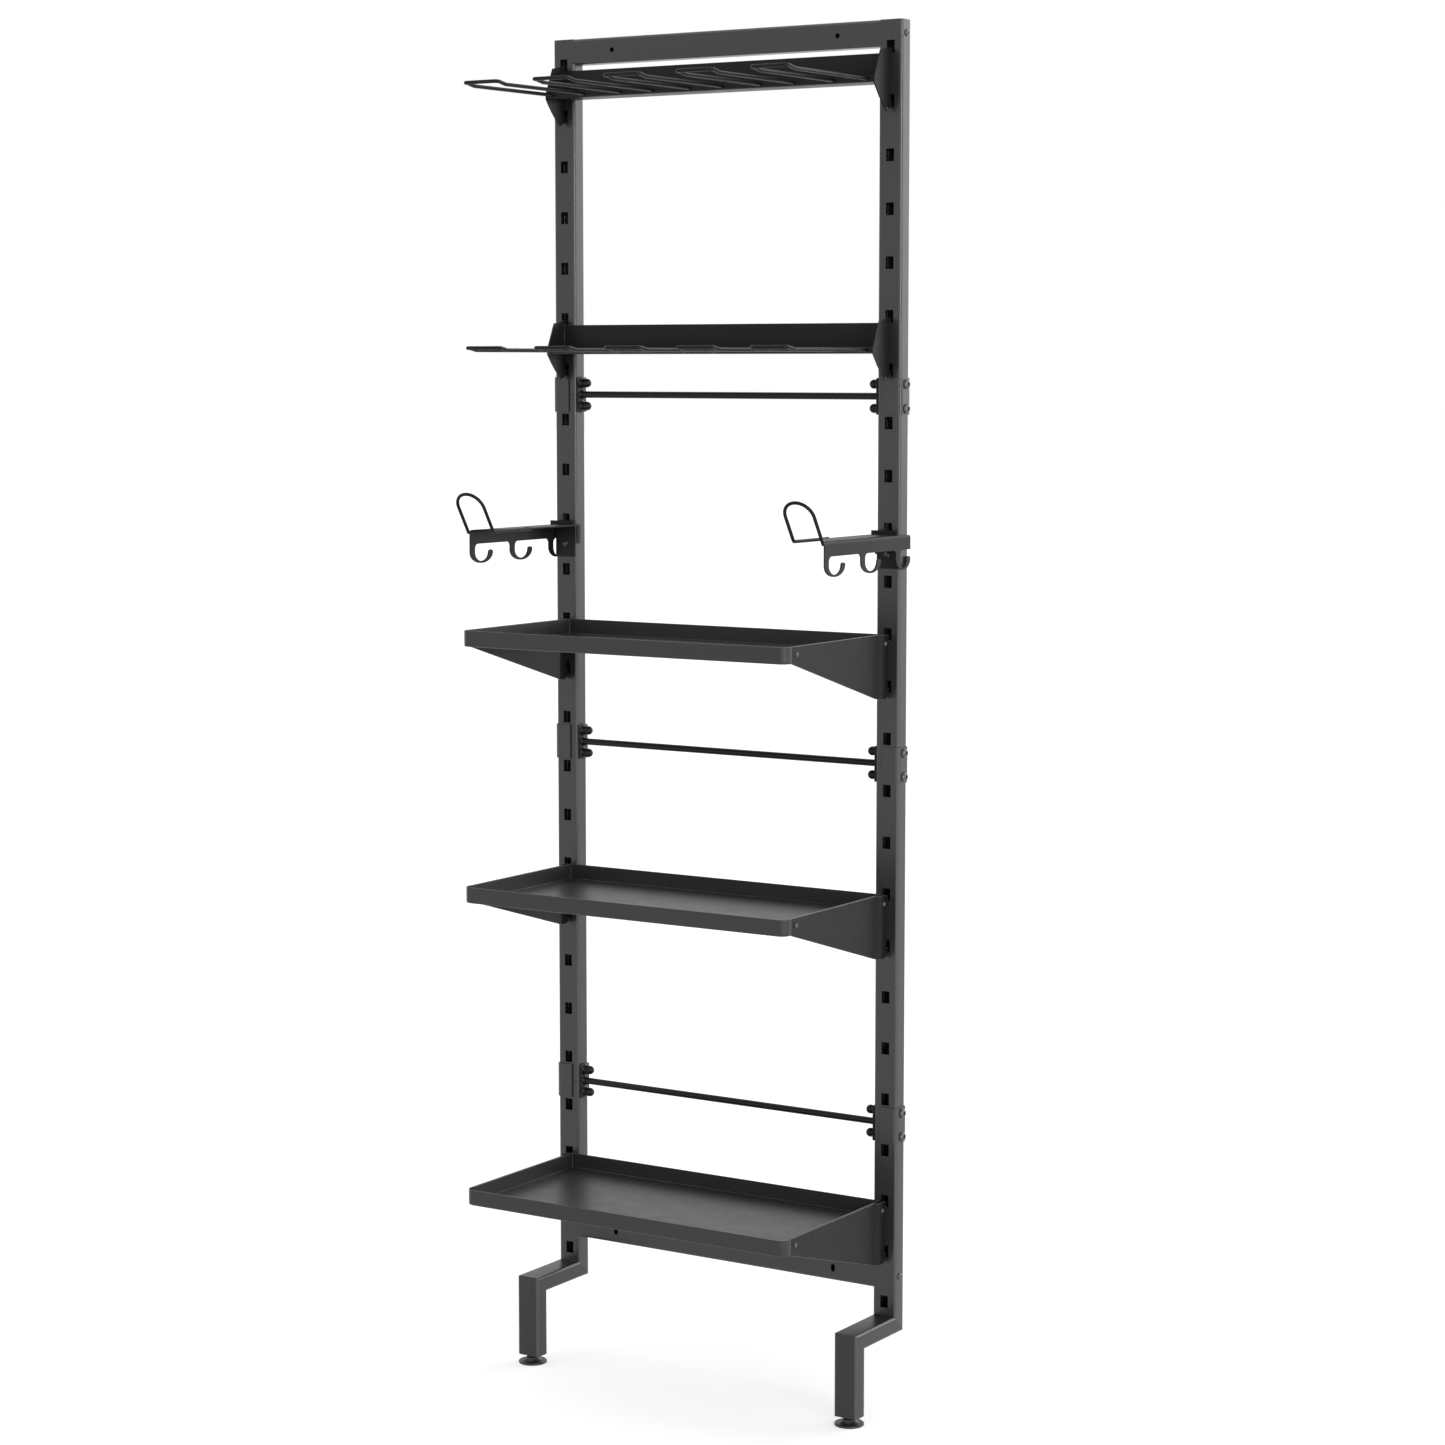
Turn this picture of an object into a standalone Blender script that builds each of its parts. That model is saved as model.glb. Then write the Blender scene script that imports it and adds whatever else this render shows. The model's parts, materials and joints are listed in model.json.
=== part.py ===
"""Wall rack of slotted steel posts with hook-in shelves, tool racks and side racks.

Metres, +Z up. The origin lies on the floor, midway between the posts, in the plane of the
wall that the rack stands against. The rack's front looks along -Y, and right is +X.
In outlines "forward" is the distance in front of the posts' front faces.
"""

import math

import bmesh
import bpy
from mathutils import Matrix, Vector

# Fits and facets
GAP = 0.0003
OVERRUN = 0.002
FACET = math.radians(45)
LOOP_FACET = math.radians(30)
FINE_FACET = math.radians(20)
HOOK_FACET = math.radians(12)
SHARP_ANGLE = math.radians(50)
ROUND_SIDES = 12
BOLT_SIDES = 8
PAD_SIDES = 16
WIRE_SIDES = 8

# Posts: slotted tube in three sections and a foot section on each side
FRAME_WIDTH = 0.6066
TUBE_WIDTH = 0.0381
TUBE_DEPTH = 0.0254
TUBE_WALL = 0.0018
TUBE_RADIUS = 0.0035
SLOT_PITCH = 0.0762
SLOT_WIDTH = 0.013
SLOT_HEIGHT = 0.018
SLOTS_IN_SECTION = 7
SLOTS_IN_FOOT = 4
SECTION_NAMES = ("top", "upper", "lower")

# Foot: the tube turns forward and down again to a levelling foot
FOOT_REACH = 0.1131
LEG_DROP = 0.0998
ARM_TO_SLOT = 0.0213
END_PLATE = 0.004
STEM_DIAMETER = 0.010
STEM_SHOWING = 0.0031
STEM_IN_LEG = 0.032
PAD_DIAMETER = 0.0435
PAD_HEIGHT = 0.0099
PAD_RIM = 0.0035
PAD_HUB_DIAMETER = 0.019
PAD_FLOOR = 0.003

# Couplers: channels round the outside of each joint, bolted through to the cross rods
COUPLER_SHEET = 0.002
COUPLER_MARGIN = 0.0028
COUPLER_FLANGE = 0.0262
COUPLER_BOLT_EDGE = 0.0088
BOLT_DIAMETER = 0.008
BOLT_LENGTH = 0.050
BOLT_HEAD_DIAMETER = 0.014
BOLT_HEAD_HEIGHT = 0.0042
BOLT_SOCKET_DIAMETER = 0.0055
BOLT_SOCKET_DEPTH = 0.0026
BOLT_HEAD_SHARES = ((0.20, 1.0), (0.74, 0.86))
ROD_DIAMETER = 0.010
ROD_FLANGE = 0.0025
ROD_FLANGE_MARGIN = 0.001
BOSS_LENGTH = 0.016
BOSS_DIAMETER = 0.0136
BOSS_SHARES = ((0.28, 0.87), (0.58, 1.0), (0.85, 0.80), (1.0, 0.36))

# Beams between the posts
BEAM_HOLE_EDGE = 0.069
TOP_HOLE_DIAMETER = 0.0076
BOTTOM_HOLE_WIDTH = 0.007
BOTTOM_HOLE_HEIGHT = 0.012
BOTTOM_BEAM_SLOT = 23.5

# Hooks that every accessory hangs by: the neck lies on a slot's lower edge
LIFT = 0.011
LIP_CLEARANCE = 0.003
LIP_THICKNESS = 0.004
LIP_CHAMFER = 0.0012
SHEET = 0.002

# Shelves: a tray held between two brackets
SHELF_SLOTS = {"top": 11, "middle": 16, "bottom": 22}
SHELF_REACH = 0.2759
SHELF_LIP = 0.024
SHELF_CORNER = 0.013
SHELF_SHEET = 0.0015
SHELF_BEND = 0.002
SHELF_BACK_CLEARANCE = 0.0015
BRACKET_SEAM = 0.016
BRACKET_HEEL = 0.0183
BRACKET_TOE = 0.0229
BRACKET_TOE_RISE = 0.0012
BRACKET_HEEL_RADIUS = 0.007
BRACKET_SET_BACK = 0.0052
BRACKET_MARGIN = 0.0205
BRACKET_STEP = 0.006

# Tool racks: a folded rail with side plates and wire loops
TOOL_RACK_SLOTS = {"upper": 0, "lower": 5}
RAIL_TOP_DROP = 0.0091
RAIL_BOTTOM_DROP = 0.0533
RAIL_REACH = 0.0457
RAIL_LIP = 0.0092
RAIL_BEND = 0.003
CHEEK_TOP = 0.0046
CHEEK_SHOULDER_REACH_SHARE = 0.63
CHEEK_SHOULDER_DROP = 0.0046
CHEEK_NOSE = 0.0076
CHEEK_CHIN_REACH_SHARE = 0.72
CHEEK_CHIN_DROP = 0.0168
CHEEK_TAIL_REACH_SHARE = 0.27
CHEEK_TAIL_DROP = 0.0065
CHEEK_MARGIN = 0.0008
LOOPS = 5
LOOP_WIRE = 0.0056
LOOP_WIDTH = 0.062
LOOP_REACH = 0.268
LOOP_MARGIN = 0.0078
LOOP_CORNER = 0.0048
LOOP_RISE = 0.0031
LOOP_KINK = 0.016
LOOP_SEAT = 0.0005

# Side racks: a flange on the post with a row of open hooks hanging from its outer edge
SIDE_SLOT = 9
SIDE_REACH = 0.2164
SIDE_FLANGE_DROP = 0.0076
SIDE_CLEARANCE = 0.0018
SIDE_INNER_ARM = 0.003
SIDE_NOTCH = 0.0716
SIDE_BEND = 0.005
SIDE_STRADDLE = 0.0076
SIDE_LIP = 0.006
SIDE_LIP_FORWARD = 0.0114
SIDE_LEG_WIDTH = 0.035
SIDE_LEG_DROP = 0.0495
SIDE_EAR_DROP = 0.029
TONGUE_FOOT = 0.012
TONGUE_TOP = 0.004
TONGUE_RISE = 0.0075
HOOKS = 3
HOOK_BAND = 0.0221
HOOK_DEPTH = 0.0259
HOOK_SOLE = 0.0031
HOOK_STEM = 0.0115
HOOK_BORE = 0.034
HOOK_TIP = 0.0108
HOOK_TIP_RISE = 0.0032
HOOK_THROAT_RADIUS = 0.007
LAST_HOOK_FORWARD = 0.016
RING_WIRE = 0.005
RING_LEAN = 0.0345
RING_RISE = 0.0556
RING_FOOT = 0.095
RING_FOOT_BEND = 0.005

# Places that follow from the sizes above
POST_X = FRAME_WIDTH / 2 - TUBE_WIDTH / 2
POST_INNER = FRAME_WIDTH / 2 - TUBE_WIDTH
POST_OUTER = FRAME_WIDTH / 2
BACK_Y = -(GAP + COUPLER_SHEET)
FRONT_Y = BACK_Y - TUBE_DEPTH
MIDDLE_Y = BACK_Y - TUBE_DEPTH / 2
LEG_END = PAD_HEIGHT + STEM_SHOWING
ARM_LOW = LEG_END + LEG_DROP
ARM_TOP = ARM_LOW + TUBE_DEPTH
SLOT_COUNT = SLOTS_IN_SECTION * len(SECTION_NAMES) + SLOTS_IN_FOOT
POST_TOP = ARM_TOP + ARM_TO_SLOT + (SLOT_COUNT - 1 / 2) * SLOT_PITCH
COUPLER_HEIGHT = SLOT_PITCH - SLOT_HEIGHT - 2 * COUPLER_MARGIN
COUPLER_BOLT_OFFSET = COUPLER_HEIGHT / 2 - COUPLER_BOLT_EDGE
NECK_HEIGHT = SLOT_HEIGHT - LIFT - 2 * GAP
LIP_DROP = LIFT - LIP_CLEARANCE
HOOK_OUTER = POST_X + SHEET / 2
HOOK_INNER = POST_X - SHEET / 2
BRACKET_OUTER = HOOK_OUTER - BRACKET_SET_BACK
BRACKET_INNER = BRACKET_OUTER - SHEET
LOOP_PITCH = (2 * (HOOK_INNER - LOOP_MARGIN) - LOOP_WIDTH) / (LOOPS - 1)
SIDE_PLATE_INNER = POST_OUTER + SIDE_CLEARANCE
SIDE_PLATE_OUTER = SIDE_PLATE_INNER + SHEET
SIDE_FLANGE_INNER = POST_INNER - SIDE_INNER_ARM

# Finishes: colour, metallic value and roughness
FINISHES = {
    "powder_coat": ((0.034, 0.034, 0.036), 0.0, 0.42),
    "black_wire": ((0.012, 0.012, 0.013), 0.0, 0.38),
    "black_screw": ((0.060, 0.060, 0.062), 0.6, 0.35),
    "zinc": ((0.30, 0.30, 0.31), 0.9, 0.40),
    "black_plastic": ((0.015, 0.015, 0.015), 0.0, 0.50),
}


def clear_scene():
    """Start from an empty scene."""
    for thing in list(bpy.data.objects):
        bpy.data.objects.remove(thing, do_unlink=True)


def slot_height(index):
    """Height of a slot's centre, slots being counted down from 0 at the top."""
    return POST_TOP - (index + 1 / 2) * SLOT_PITCH


def joint_height(index):
    """Height of the joint under section number index."""
    return POST_TOP - (index + 1) * SLOTS_IN_SECTION * SLOT_PITCH


def finish_material(name, finish):
    """One Principled material for the piece of this name."""
    colour, metallic, roughness = FINISHES[finish]
    material = bpy.data.materials.new(name + "_finish")
    material.use_nodes = True
    shader = material.node_tree.nodes["Principled BSDF"]
    shader.inputs["Base Color"].default_value = (*colour, 1.0)
    shader.inputs["Metallic"].default_value = metallic
    shader.inputs["Roughness"].default_value = roughness
    return material


def piece_from(name, bm, finish="powder_coat"):
    """Turn a bmesh into a finished piece with outward faces."""
    bmesh.ops.recalc_face_normals(bm, faces=bm.faces)
    mesh = bpy.data.meshes.new(name)
    bm.to_mesh(mesh)
    bm.free()
    mesh.shade_smooth()
    mesh.set_sharp_from_angle(angle=SHARP_ANGLE)
    piece = bpy.data.objects.new(name, mesh)
    mesh.materials.append(finish_material(name, finish))
    bpy.context.scene.collection.objects.link(piece)
    return piece


def carry(name, place, pieces):
    """Parent pieces to an empty on the axis of their joint; they stay where they were modelled."""
    holder = bpy.data.objects.new(name, None)
    holder.location = place
    bpy.context.scene.collection.objects.link(holder)
    for piece in pieces:
        piece.parent = holder
        piece.matrix_parent_inverse = Matrix.Translation(-Vector(place))


def combine(piece, bm, operation):
    """Union a solid into a piece, or cut it away, and leave the piece as a plain mesh."""
    tool = piece_from(piece.name + "_tool", bm)
    modifier = piece.modifiers.new(operation.lower(), "BOOLEAN")
    modifier.operation = operation
    modifier.solver = "EXACT"
    modifier.object = tool
    depsgraph = bpy.context.evaluated_depsgraph_get()
    result = bpy.data.meshes.new_from_object(piece.evaluated_get(depsgraph))
    piece.modifiers.clear()
    old = piece.data
    piece.data = result
    spare_mesh, spare_material = tool.data, tool.data.materials[0]
    bpy.data.objects.remove(tool, do_unlink=True)
    bpy.data.meshes.remove(spare_mesh)
    bpy.data.meshes.remove(old)
    result.materials.clear()
    result.materials.append(bpy.data.materials[piece.name + "_finish"])
    bpy.data.materials.remove(spare_material)
    result.shade_smooth()
    result.set_sharp_from_angle(angle=SHARP_ANGLE)


def weld(piece, bm):
    combine(piece, bm, "UNION")


def cut(piece, bm):
    combine(piece, bm, "DIFFERENCE")


def along(axis, u, v, w):
    """Point at w along an axis, with u and v across it in X, Y, Z order."""
    return {"X": (w, u, v), "Y": (u, w, v), "Z": (u, v, w)}[axis]


def rounded(corners, facet=FACET, closed=True):
    """Points through corners (place and radius), with an arc of facets where the radius is above zero."""
    points = []
    for index, (place, radius) in enumerate(corners):
        here = Vector(place)
        if radius <= 0 or (not closed and index in (0, len(corners) - 1)):
            points.append(here)
            continue
        before = (Vector(corners[index - 1][0]) - here).normalized()
        after = (Vector(corners[(index + 1) % len(corners)][0]) - here).normalized()
        half = before.angle(after) / 2
        centre = here + (before + after).normalized() * radius / math.sin(half)
        start = here + before * radius / math.tan(half) - centre
        end = here + after * radius / math.tan(half) - centre
        sweep = math.pi - 2 * half
        steps = max(1, round(sweep / facet))
        for step in range(steps + 1):
            share = step / steps
            points.append(
                centre
                + start * math.sin((1 - share) * sweep) / math.sin(sweep)
                + end * math.sin(share * sweep) / math.sin(sweep)
            )
    return points


def arc(centre, radii, start, stop, facet=FACET):
    """Points of an elliptical arc, its ends given in quarter turns."""
    points = []
    steps = max(1, round(abs(stop - start) * math.pi / 2 / facet))
    for step in range(steps + 1):
        angle = math.pi / 2 * (start + (stop - start) * step / steps)
        points.append(Vector((centre[0] + radii[0] * math.cos(angle), centre[1] + radii[1] * math.sin(angle))))
    return points


def inset(outline, distance):
    """Move an outline's sides inwards, one point for each of its points."""
    area = sum(a[0] * b[1] - a[1] * b[0] for a, b in zip(outline, outline[1:] + outline[:1]))
    inward = 1 if area > 0 else -1
    points = []
    for index, here in enumerate(outline):
        before = (here - outline[index - 1]).normalized()
        after = (outline[(index + 1) % len(outline)] - here).normalized()
        side_before = Vector((-before[1], before[0])) * inward
        side_after = Vector((-after[1], after[0])) * inward
        middle = (side_before + side_after).normalized()
        points.append(here + middle * distance / middle.dot(side_before))
    return points


def ring_of(bm, points):
    return [bm.verts.new(point) for point in points]


def bridge(bm, ring, other):
    """Side faces between two rings of equal length."""
    for index in range(len(ring)):
        after = (index + 1) % len(ring)
        bm.faces.new((ring[index], ring[after], other[after], other[index]))


def add_prism(bm, outline, axis, low, high):
    """Solid of an outline extruded along an axis."""
    bottom = ring_of(bm, [along(axis, u, v, low) for u, v in outline])
    top = ring_of(bm, [along(axis, u, v, high) for u, v in outline])
    bm.faces.new(bottom)
    bm.faces.new(top)
    bridge(bm, bottom, top)


def add_box(bm, low, high):
    outline = [(low[0], low[1]), (high[0], low[1]), (high[0], high[1]), (low[0], high[1])]
    add_prism(bm, outline, "Z", low[2], high[2])


def add_turned(bm, axis, centre, profile, sides=ROUND_SIDES):
    """Solid turned round a line along an axis: profile of (place along it, radius), ends on the line."""
    rings = []
    for place, radius in profile[1:-1]:
        ring = []
        for index in range(sides):
            angle = 2 * math.pi * (index + 1 / 2) / sides
            u = centre[0] + radius * math.cos(angle)
            v = centre[1] + radius * math.sin(angle)
            ring.append(bm.verts.new(along(axis, u, v, place)))
        rings.append(ring)
    for ring, other in zip(rings, rings[1:]):
        bridge(bm, ring, other)
    bm.faces.new(rings[0])
    bm.faces.new(rings[-1])


def add_cylinder(bm, axis, centre, radius, low, high, sides=ROUND_SIDES):
    add_turned(bm, axis, centre, [(low, 0), (low, radius), (high, radius), (high, 0)], sides)


def hole_radius(diameter, sides=ROUND_SIDES):
    """Radius of a faceted hole whose flats clear a shaft of this diameter by the gap."""
    return (diameter / 2 + GAP) / math.cos(math.pi / sides)


def add_bolt_hole(bm, height, ends):
    """Cutter along X for a coupler bolt at this height."""
    radius = hole_radius(BOLT_DIAMETER, BOLT_SIDES)
    add_cylinder(bm, "X", (MIDDLE_Y, height), radius, *ends, BOLT_SIDES)


def wire(name, path, diameter):
    """Round wire along a path, with flat ends."""
    curve = bpy.data.curves.new(name, "CURVE")
    curve.dimensions = "3D"
    spline = curve.splines.new("POLY")
    spline.points.add(len(path) - 1)
    for point, place in zip(spline.points, path):
        point.co = (*place, 1.0)
    curve.bevel_depth = diameter / 2
    curve.bevel_resolution = WIRE_SIDES // 2 - 2
    curve.use_fill_caps = True
    piece = bpy.data.objects.new(name, curve)
    curve.materials.append(finish_material(name, "black_wire"))
    bpy.context.scene.collection.objects.link(piece)
    return piece


def tube_outline(centre_x, centre_y, width, depth):
    """Outline of the post tube with rounded corners."""
    corners = []
    for across, deep in ((-1, -1), (1, -1), (1, 1), (-1, 1)):
        corner = (centre_x + across * width / 2, centre_y + deep * depth / 2)
        corners.append((corner, TUBE_RADIUS))
    return rounded(corners)


def cut_post_holes(post, side, slots, bolt_heights):
    """Hook slots in a post's front wall and bolt holes through its side walls."""
    bm = bmesh.new()
    for index in slots:
        height = slot_height(index)
        low = (side * POST_X - SLOT_WIDTH / 2, FRONT_Y - OVERRUN, height - SLOT_HEIGHT / 2)
        high = (side * POST_X + SLOT_WIDTH / 2, FRONT_Y + TUBE_WALL + OVERRUN, height + SLOT_HEIGHT / 2)
        add_box(bm, low, high)
    ends = sorted((side * (POST_INNER - OVERRUN), side * (POST_OUTER + OVERRUN)))
    for height in bolt_heights:
        add_bolt_hole(bm, height, ends)
    cut(post, bm)


def make_post_section(side, side_name, index):
    """A straight section of post, open at both ends."""
    top = POST_TOP - index * SLOTS_IN_SECTION * SLOT_PITCH
    bottom = joint_height(index)
    outer = tube_outline(side * POST_X, MIDDLE_Y, TUBE_WIDTH, TUBE_DEPTH)
    inner = inset(outer, TUBE_WALL)
    low, high = bottom + GAP / 2, top - (GAP / 2 if index else 0)
    bm = bmesh.new()
    rings = [
        ring_of(bm, [(x, y, z) for x, y in outline])
        for outline, z in ((outer, low), (outer, high), (inner, high), (inner, low))
    ]
    for ring, other in zip(rings, rings[1:] + rings[:1]):
        bridge(bm, ring, other)
    post = piece_from("post_" + side_name + "_" + SECTION_NAMES[index], bm)
    bolts = [bottom + COUPLER_BOLT_OFFSET]
    if index:
        bolts.append(top - COUPLER_BOLT_OFFSET)
    first = index * SLOTS_IN_SECTION
    cut_post_holes(post, side, range(first, first + SLOTS_IN_SECTION), bolts)


def make_foot(side, side_name):
    """The lowest section: slotted tube mitred forward and down, with a threaded end plate."""
    top = joint_height(len(SECTION_NAMES) - 1)
    outer = tube_outline(0, 0, TUBE_WIDTH, TUBE_DEPTH)
    leg_y = FRONT_Y - FOOT_REACH + TUBE_DEPTH / 2
    arm_z = ARM_LOW + TUBE_DEPTH / 2
    bm = bmesh.new()
    loops = []
    for outline, end in ((outer, LEG_END), (inset(outer, TUBE_WALL), LEG_END + END_PLATE)):
        across = [(side * POST_X + x, y) for x, y in outline]
        rings = [
            ring_of(bm, [(x, MIDDLE_Y + y, top - GAP / 2) for x, y in across]),
            ring_of(bm, [(x, MIDDLE_Y + y, arm_z - y) for x, y in across]),
            ring_of(bm, [(x, leg_y + y, arm_z - y) for x, y in across]),
            ring_of(bm, [(x, leg_y + y, end) for x, y in across]),
        ]
        for ring, other in zip(rings, rings[1:]):
            bridge(bm, ring, other)
        bm.faces.new(rings[-1])
        loops.append(rings[0])
    bridge(bm, *loops)
    foot = piece_from("post_" + side_name + "_foot", bm)
    first = SLOTS_IN_SECTION * len(SECTION_NAMES)
    cut_post_holes(foot, side, range(first, SLOT_COUNT), [top - COUPLER_BOLT_OFFSET])
    bm = bmesh.new()
    ends = (LEG_END - OVERRUN, LEG_END + END_PLATE + OVERRUN)
    add_cylinder(bm, "Z", (side * POST_X, leg_y), hole_radius(STEM_DIAMETER), *ends)
    cut(foot, bm)


def make_levelling_foot(side, side_name):
    """A threaded stem in the leg's end plate and the round pad that turns on it."""
    centre = (side * POST_X, FRONT_Y - FOOT_REACH + TUBE_DEPTH / 2)
    stem = STEM_DIAMETER / 2
    low = PAD_FLOOR + GAP
    high = LEG_END + STEM_IN_LEG
    chamfer = stem / 5
    bm = bmesh.new()
    profile = [(low, 0), (low, stem), (high - chamfer, stem), (high, stem - chamfer), (high, 0)]
    add_turned(bm, "Z", centre, profile)
    screw = piece_from("levelling_stem_" + side_name, bm, "zinc")
    socket = hole_radius(STEM_DIAMETER, PAD_SIDES)
    hub = PAD_HUB_DIAMETER / 2
    rim = PAD_DIAMETER / 2
    edge = PAD_RIM / 4
    bm = bmesh.new()
    profile = [
        (PAD_FLOOR, 0),
        (PAD_FLOOR, socket),
        (PAD_HEIGHT, socket),
        (PAD_HEIGHT, hub),
        ((PAD_RIM + PAD_HEIGHT) / 2, (2 * hub + rim) / 3),
        (PAD_RIM, rim - edge),
        (PAD_RIM - edge, rim),
        (0, rim),
        (0, 0),
    ]
    add_turned(bm, "Z", centre, profile, PAD_SIDES)
    pad = piece_from("levelling_pad_" + side_name, bm, "black_plastic")
    carry("levelling_foot_" + side_name, (*centre, 0), (screw, pad))


def make_coupler(side, place_name, height):
    """Channel round the outer side of a joint, with holes for its two bolts."""
    inner = POST_OUTER + GAP
    edge = POST_OUTER - COUPLER_FLANGE
    back = BACK_Y + GAP
    front = FRONT_Y - GAP
    bend = TUBE_RADIUS + GAP + COUPLER_SHEET
    corners = [
        ((side * edge, back + COUPLER_SHEET), 0),
        ((side * (inner + COUPLER_SHEET), back + COUPLER_SHEET), bend),
        ((side * (inner + COUPLER_SHEET), front - COUPLER_SHEET), bend),
        ((side * edge, front - COUPLER_SHEET), 0),
        ((side * edge, front), 0),
        ((side * inner, front), bend - COUPLER_SHEET),
        ((side * inner, back), bend - COUPLER_SHEET),
        ((side * edge, back), 0),
    ]
    bm = bmesh.new()
    add_prism(bm, rounded(corners), "Z", height - COUPLER_HEIGHT / 2, height + COUPLER_HEIGHT / 2)
    coupler = piece_from("coupler_" + place_name, bm)
    bm = bmesh.new()
    ends = sorted((side * (inner - OVERRUN), side * (inner + COUPLER_SHEET + OVERRUN)))
    for offset in (-COUPLER_BOLT_OFFSET, COUPLER_BOLT_OFFSET):
        add_bolt_hole(bm, height + offset, ends)
    cut(coupler, bm)


def make_coupler_bolt(side, name, height):
    """Button-head bolt from the coupler's face through the post into a boss of the cross rod."""
    seat = POST_OUTER + COUPLER_SHEET + 2 * GAP
    top = seat + BOLT_HEAD_HEIGHT
    head = BOLT_HEAD_DIAMETER / 2
    shank = BOLT_DIAMETER / 2
    socket = BOLT_SOCKET_DIAMETER / 2
    profile = [
        (seat - BOLT_LENGTH, 0),
        (seat - BOLT_LENGTH, shank),
        (seat, shank),
        (seat, head),
    ]
    profile += [(seat + BOLT_HEAD_HEIGHT * high, head * wide) for high, wide in BOLT_HEAD_SHARES]
    profile += [
        (top, (socket + head) / 2),
        (top, socket),
        (top - BOLT_SOCKET_DEPTH, socket),
        (top - BOLT_SOCKET_DEPTH, 0),
    ]
    bm = bmesh.new()
    placed = [(side * place, radius) for place, radius in profile]
    add_turned(bm, "X", (MIDDLE_Y, height), placed, BOLT_SIDES)
    piece_from(name, bm, "black_screw")


def make_cross_rod(name, height):
    """Round rod welded to a flange at each post, each flange with two domed threaded bosses."""
    face = POST_INNER - GAP
    wide = TUBE_DEPTH / 2 - ROD_FLANGE_MARGIN
    bm = bmesh.new()
    end = face - ROD_FLANGE / 2
    add_cylinder(bm, "X", (MIDDLE_Y, height), ROD_DIAMETER / 2, -end, end)
    rod = piece_from(name, bm)
    root = face - ROD_FLANGE
    boss = BOSS_DIAMETER / 2
    profile = [(end, 0), (end, boss * BOSS_SHARES[0][1])]
    profile += [(root - BOSS_LENGTH * deep, boss * bulge) for deep, bulge in BOSS_SHARES]
    profile += [(root - BOSS_LENGTH, 0)]
    for side in (-1, 1):
        bm = bmesh.new()
        ends = sorted((side * face, side * (face - ROD_FLANGE)))
        low = (ends[0], MIDDLE_Y - wide, height - COUPLER_HEIGHT / 2)
        high = (ends[1], MIDDLE_Y + wide, height + COUPLER_HEIGHT / 2)
        add_box(bm, low, high)
        weld(rod, bm)
        bores = bmesh.new()
        mouth = sorted((side * (face + OVERRUN), side * (POST_OUTER - BOLT_LENGTH)))
        for offset in (-COUPLER_BOLT_OFFSET, COUPLER_BOLT_OFFSET):
            bm = bmesh.new()
            centre = (MIDDLE_Y, height + offset)
            add_turned(bm, "X", centre, [(side * place, radius) for place, radius in profile])
            weld(rod, bm)
            add_bolt_hole(bores, height + offset, mouth)
        cut(rod, bores)


def make_beam(name, height, hole_outline):
    """Tube between the posts, closed by end plates, with two holes through it for wall screws."""
    half = POST_INNER - GAP
    outer = tube_outline(MIDDLE_Y, height, TUBE_DEPTH, TUBE_WIDTH)
    bm = bmesh.new()
    add_prism(bm, outer, "X", -half, half)
    beam = piece_from(name, bm)
    bm = bmesh.new()
    add_prism(bm, inset(outer, TUBE_WALL), "X", END_PLATE - half, half - END_PLATE)
    cut(beam, bm)
    bm = bmesh.new()
    for side in (-1, 1):
        centre_x = side * (POST_INNER - BEAM_HOLE_EDGE)
        outline = [(centre_x + x, height + z) for x, z in hole_outline]
        add_prism(bm, outline, "Y", FRONT_Y - OVERRUN, BACK_Y + OVERRUN)
    cut(beam, bm)


def round_hole(diameter):
    return arc((0, 0), (diameter / 2, diameter / 2), 0, 4)[:-1]


def upright_hole(width, height):
    """Outline of a hole with straight sides and round ends."""
    radii = (width / 2, width / 2)
    reach = (height - width) / 2
    return arc((0, reach), radii, 0, 2) + arc((0, -reach), radii, 2, 4)


def hook_corners(index):
    """Corners of the hook in a slot, down a plate's rear edge: forward distance and height, radius."""
    neck_low = slot_height(index) - SLOT_HEIGHT / 2 + GAP
    neck_top = neck_low + NECK_HEIGHT
    lip_front = -(TUBE_WALL + GAP)
    lip_back = lip_front - LIP_THICKNESS
    lip_low = neck_low - LIP_DROP
    return [
        ((GAP, neck_top), 0),
        ((lip_back, neck_top), LIP_CHAMFER),
        ((lip_back, lip_low), LIP_CHAMFER),
        ((lip_front, lip_low), 0),
        ((lip_front, neck_low), 0),
        ((GAP, neck_low), 0),
    ]


def side_outline(corners):
    """Outline in Y and Z from corners given as forward distance and height."""
    return rounded([((FRONT_Y - place[0], place[1]), radius) for place, radius in corners])


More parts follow.
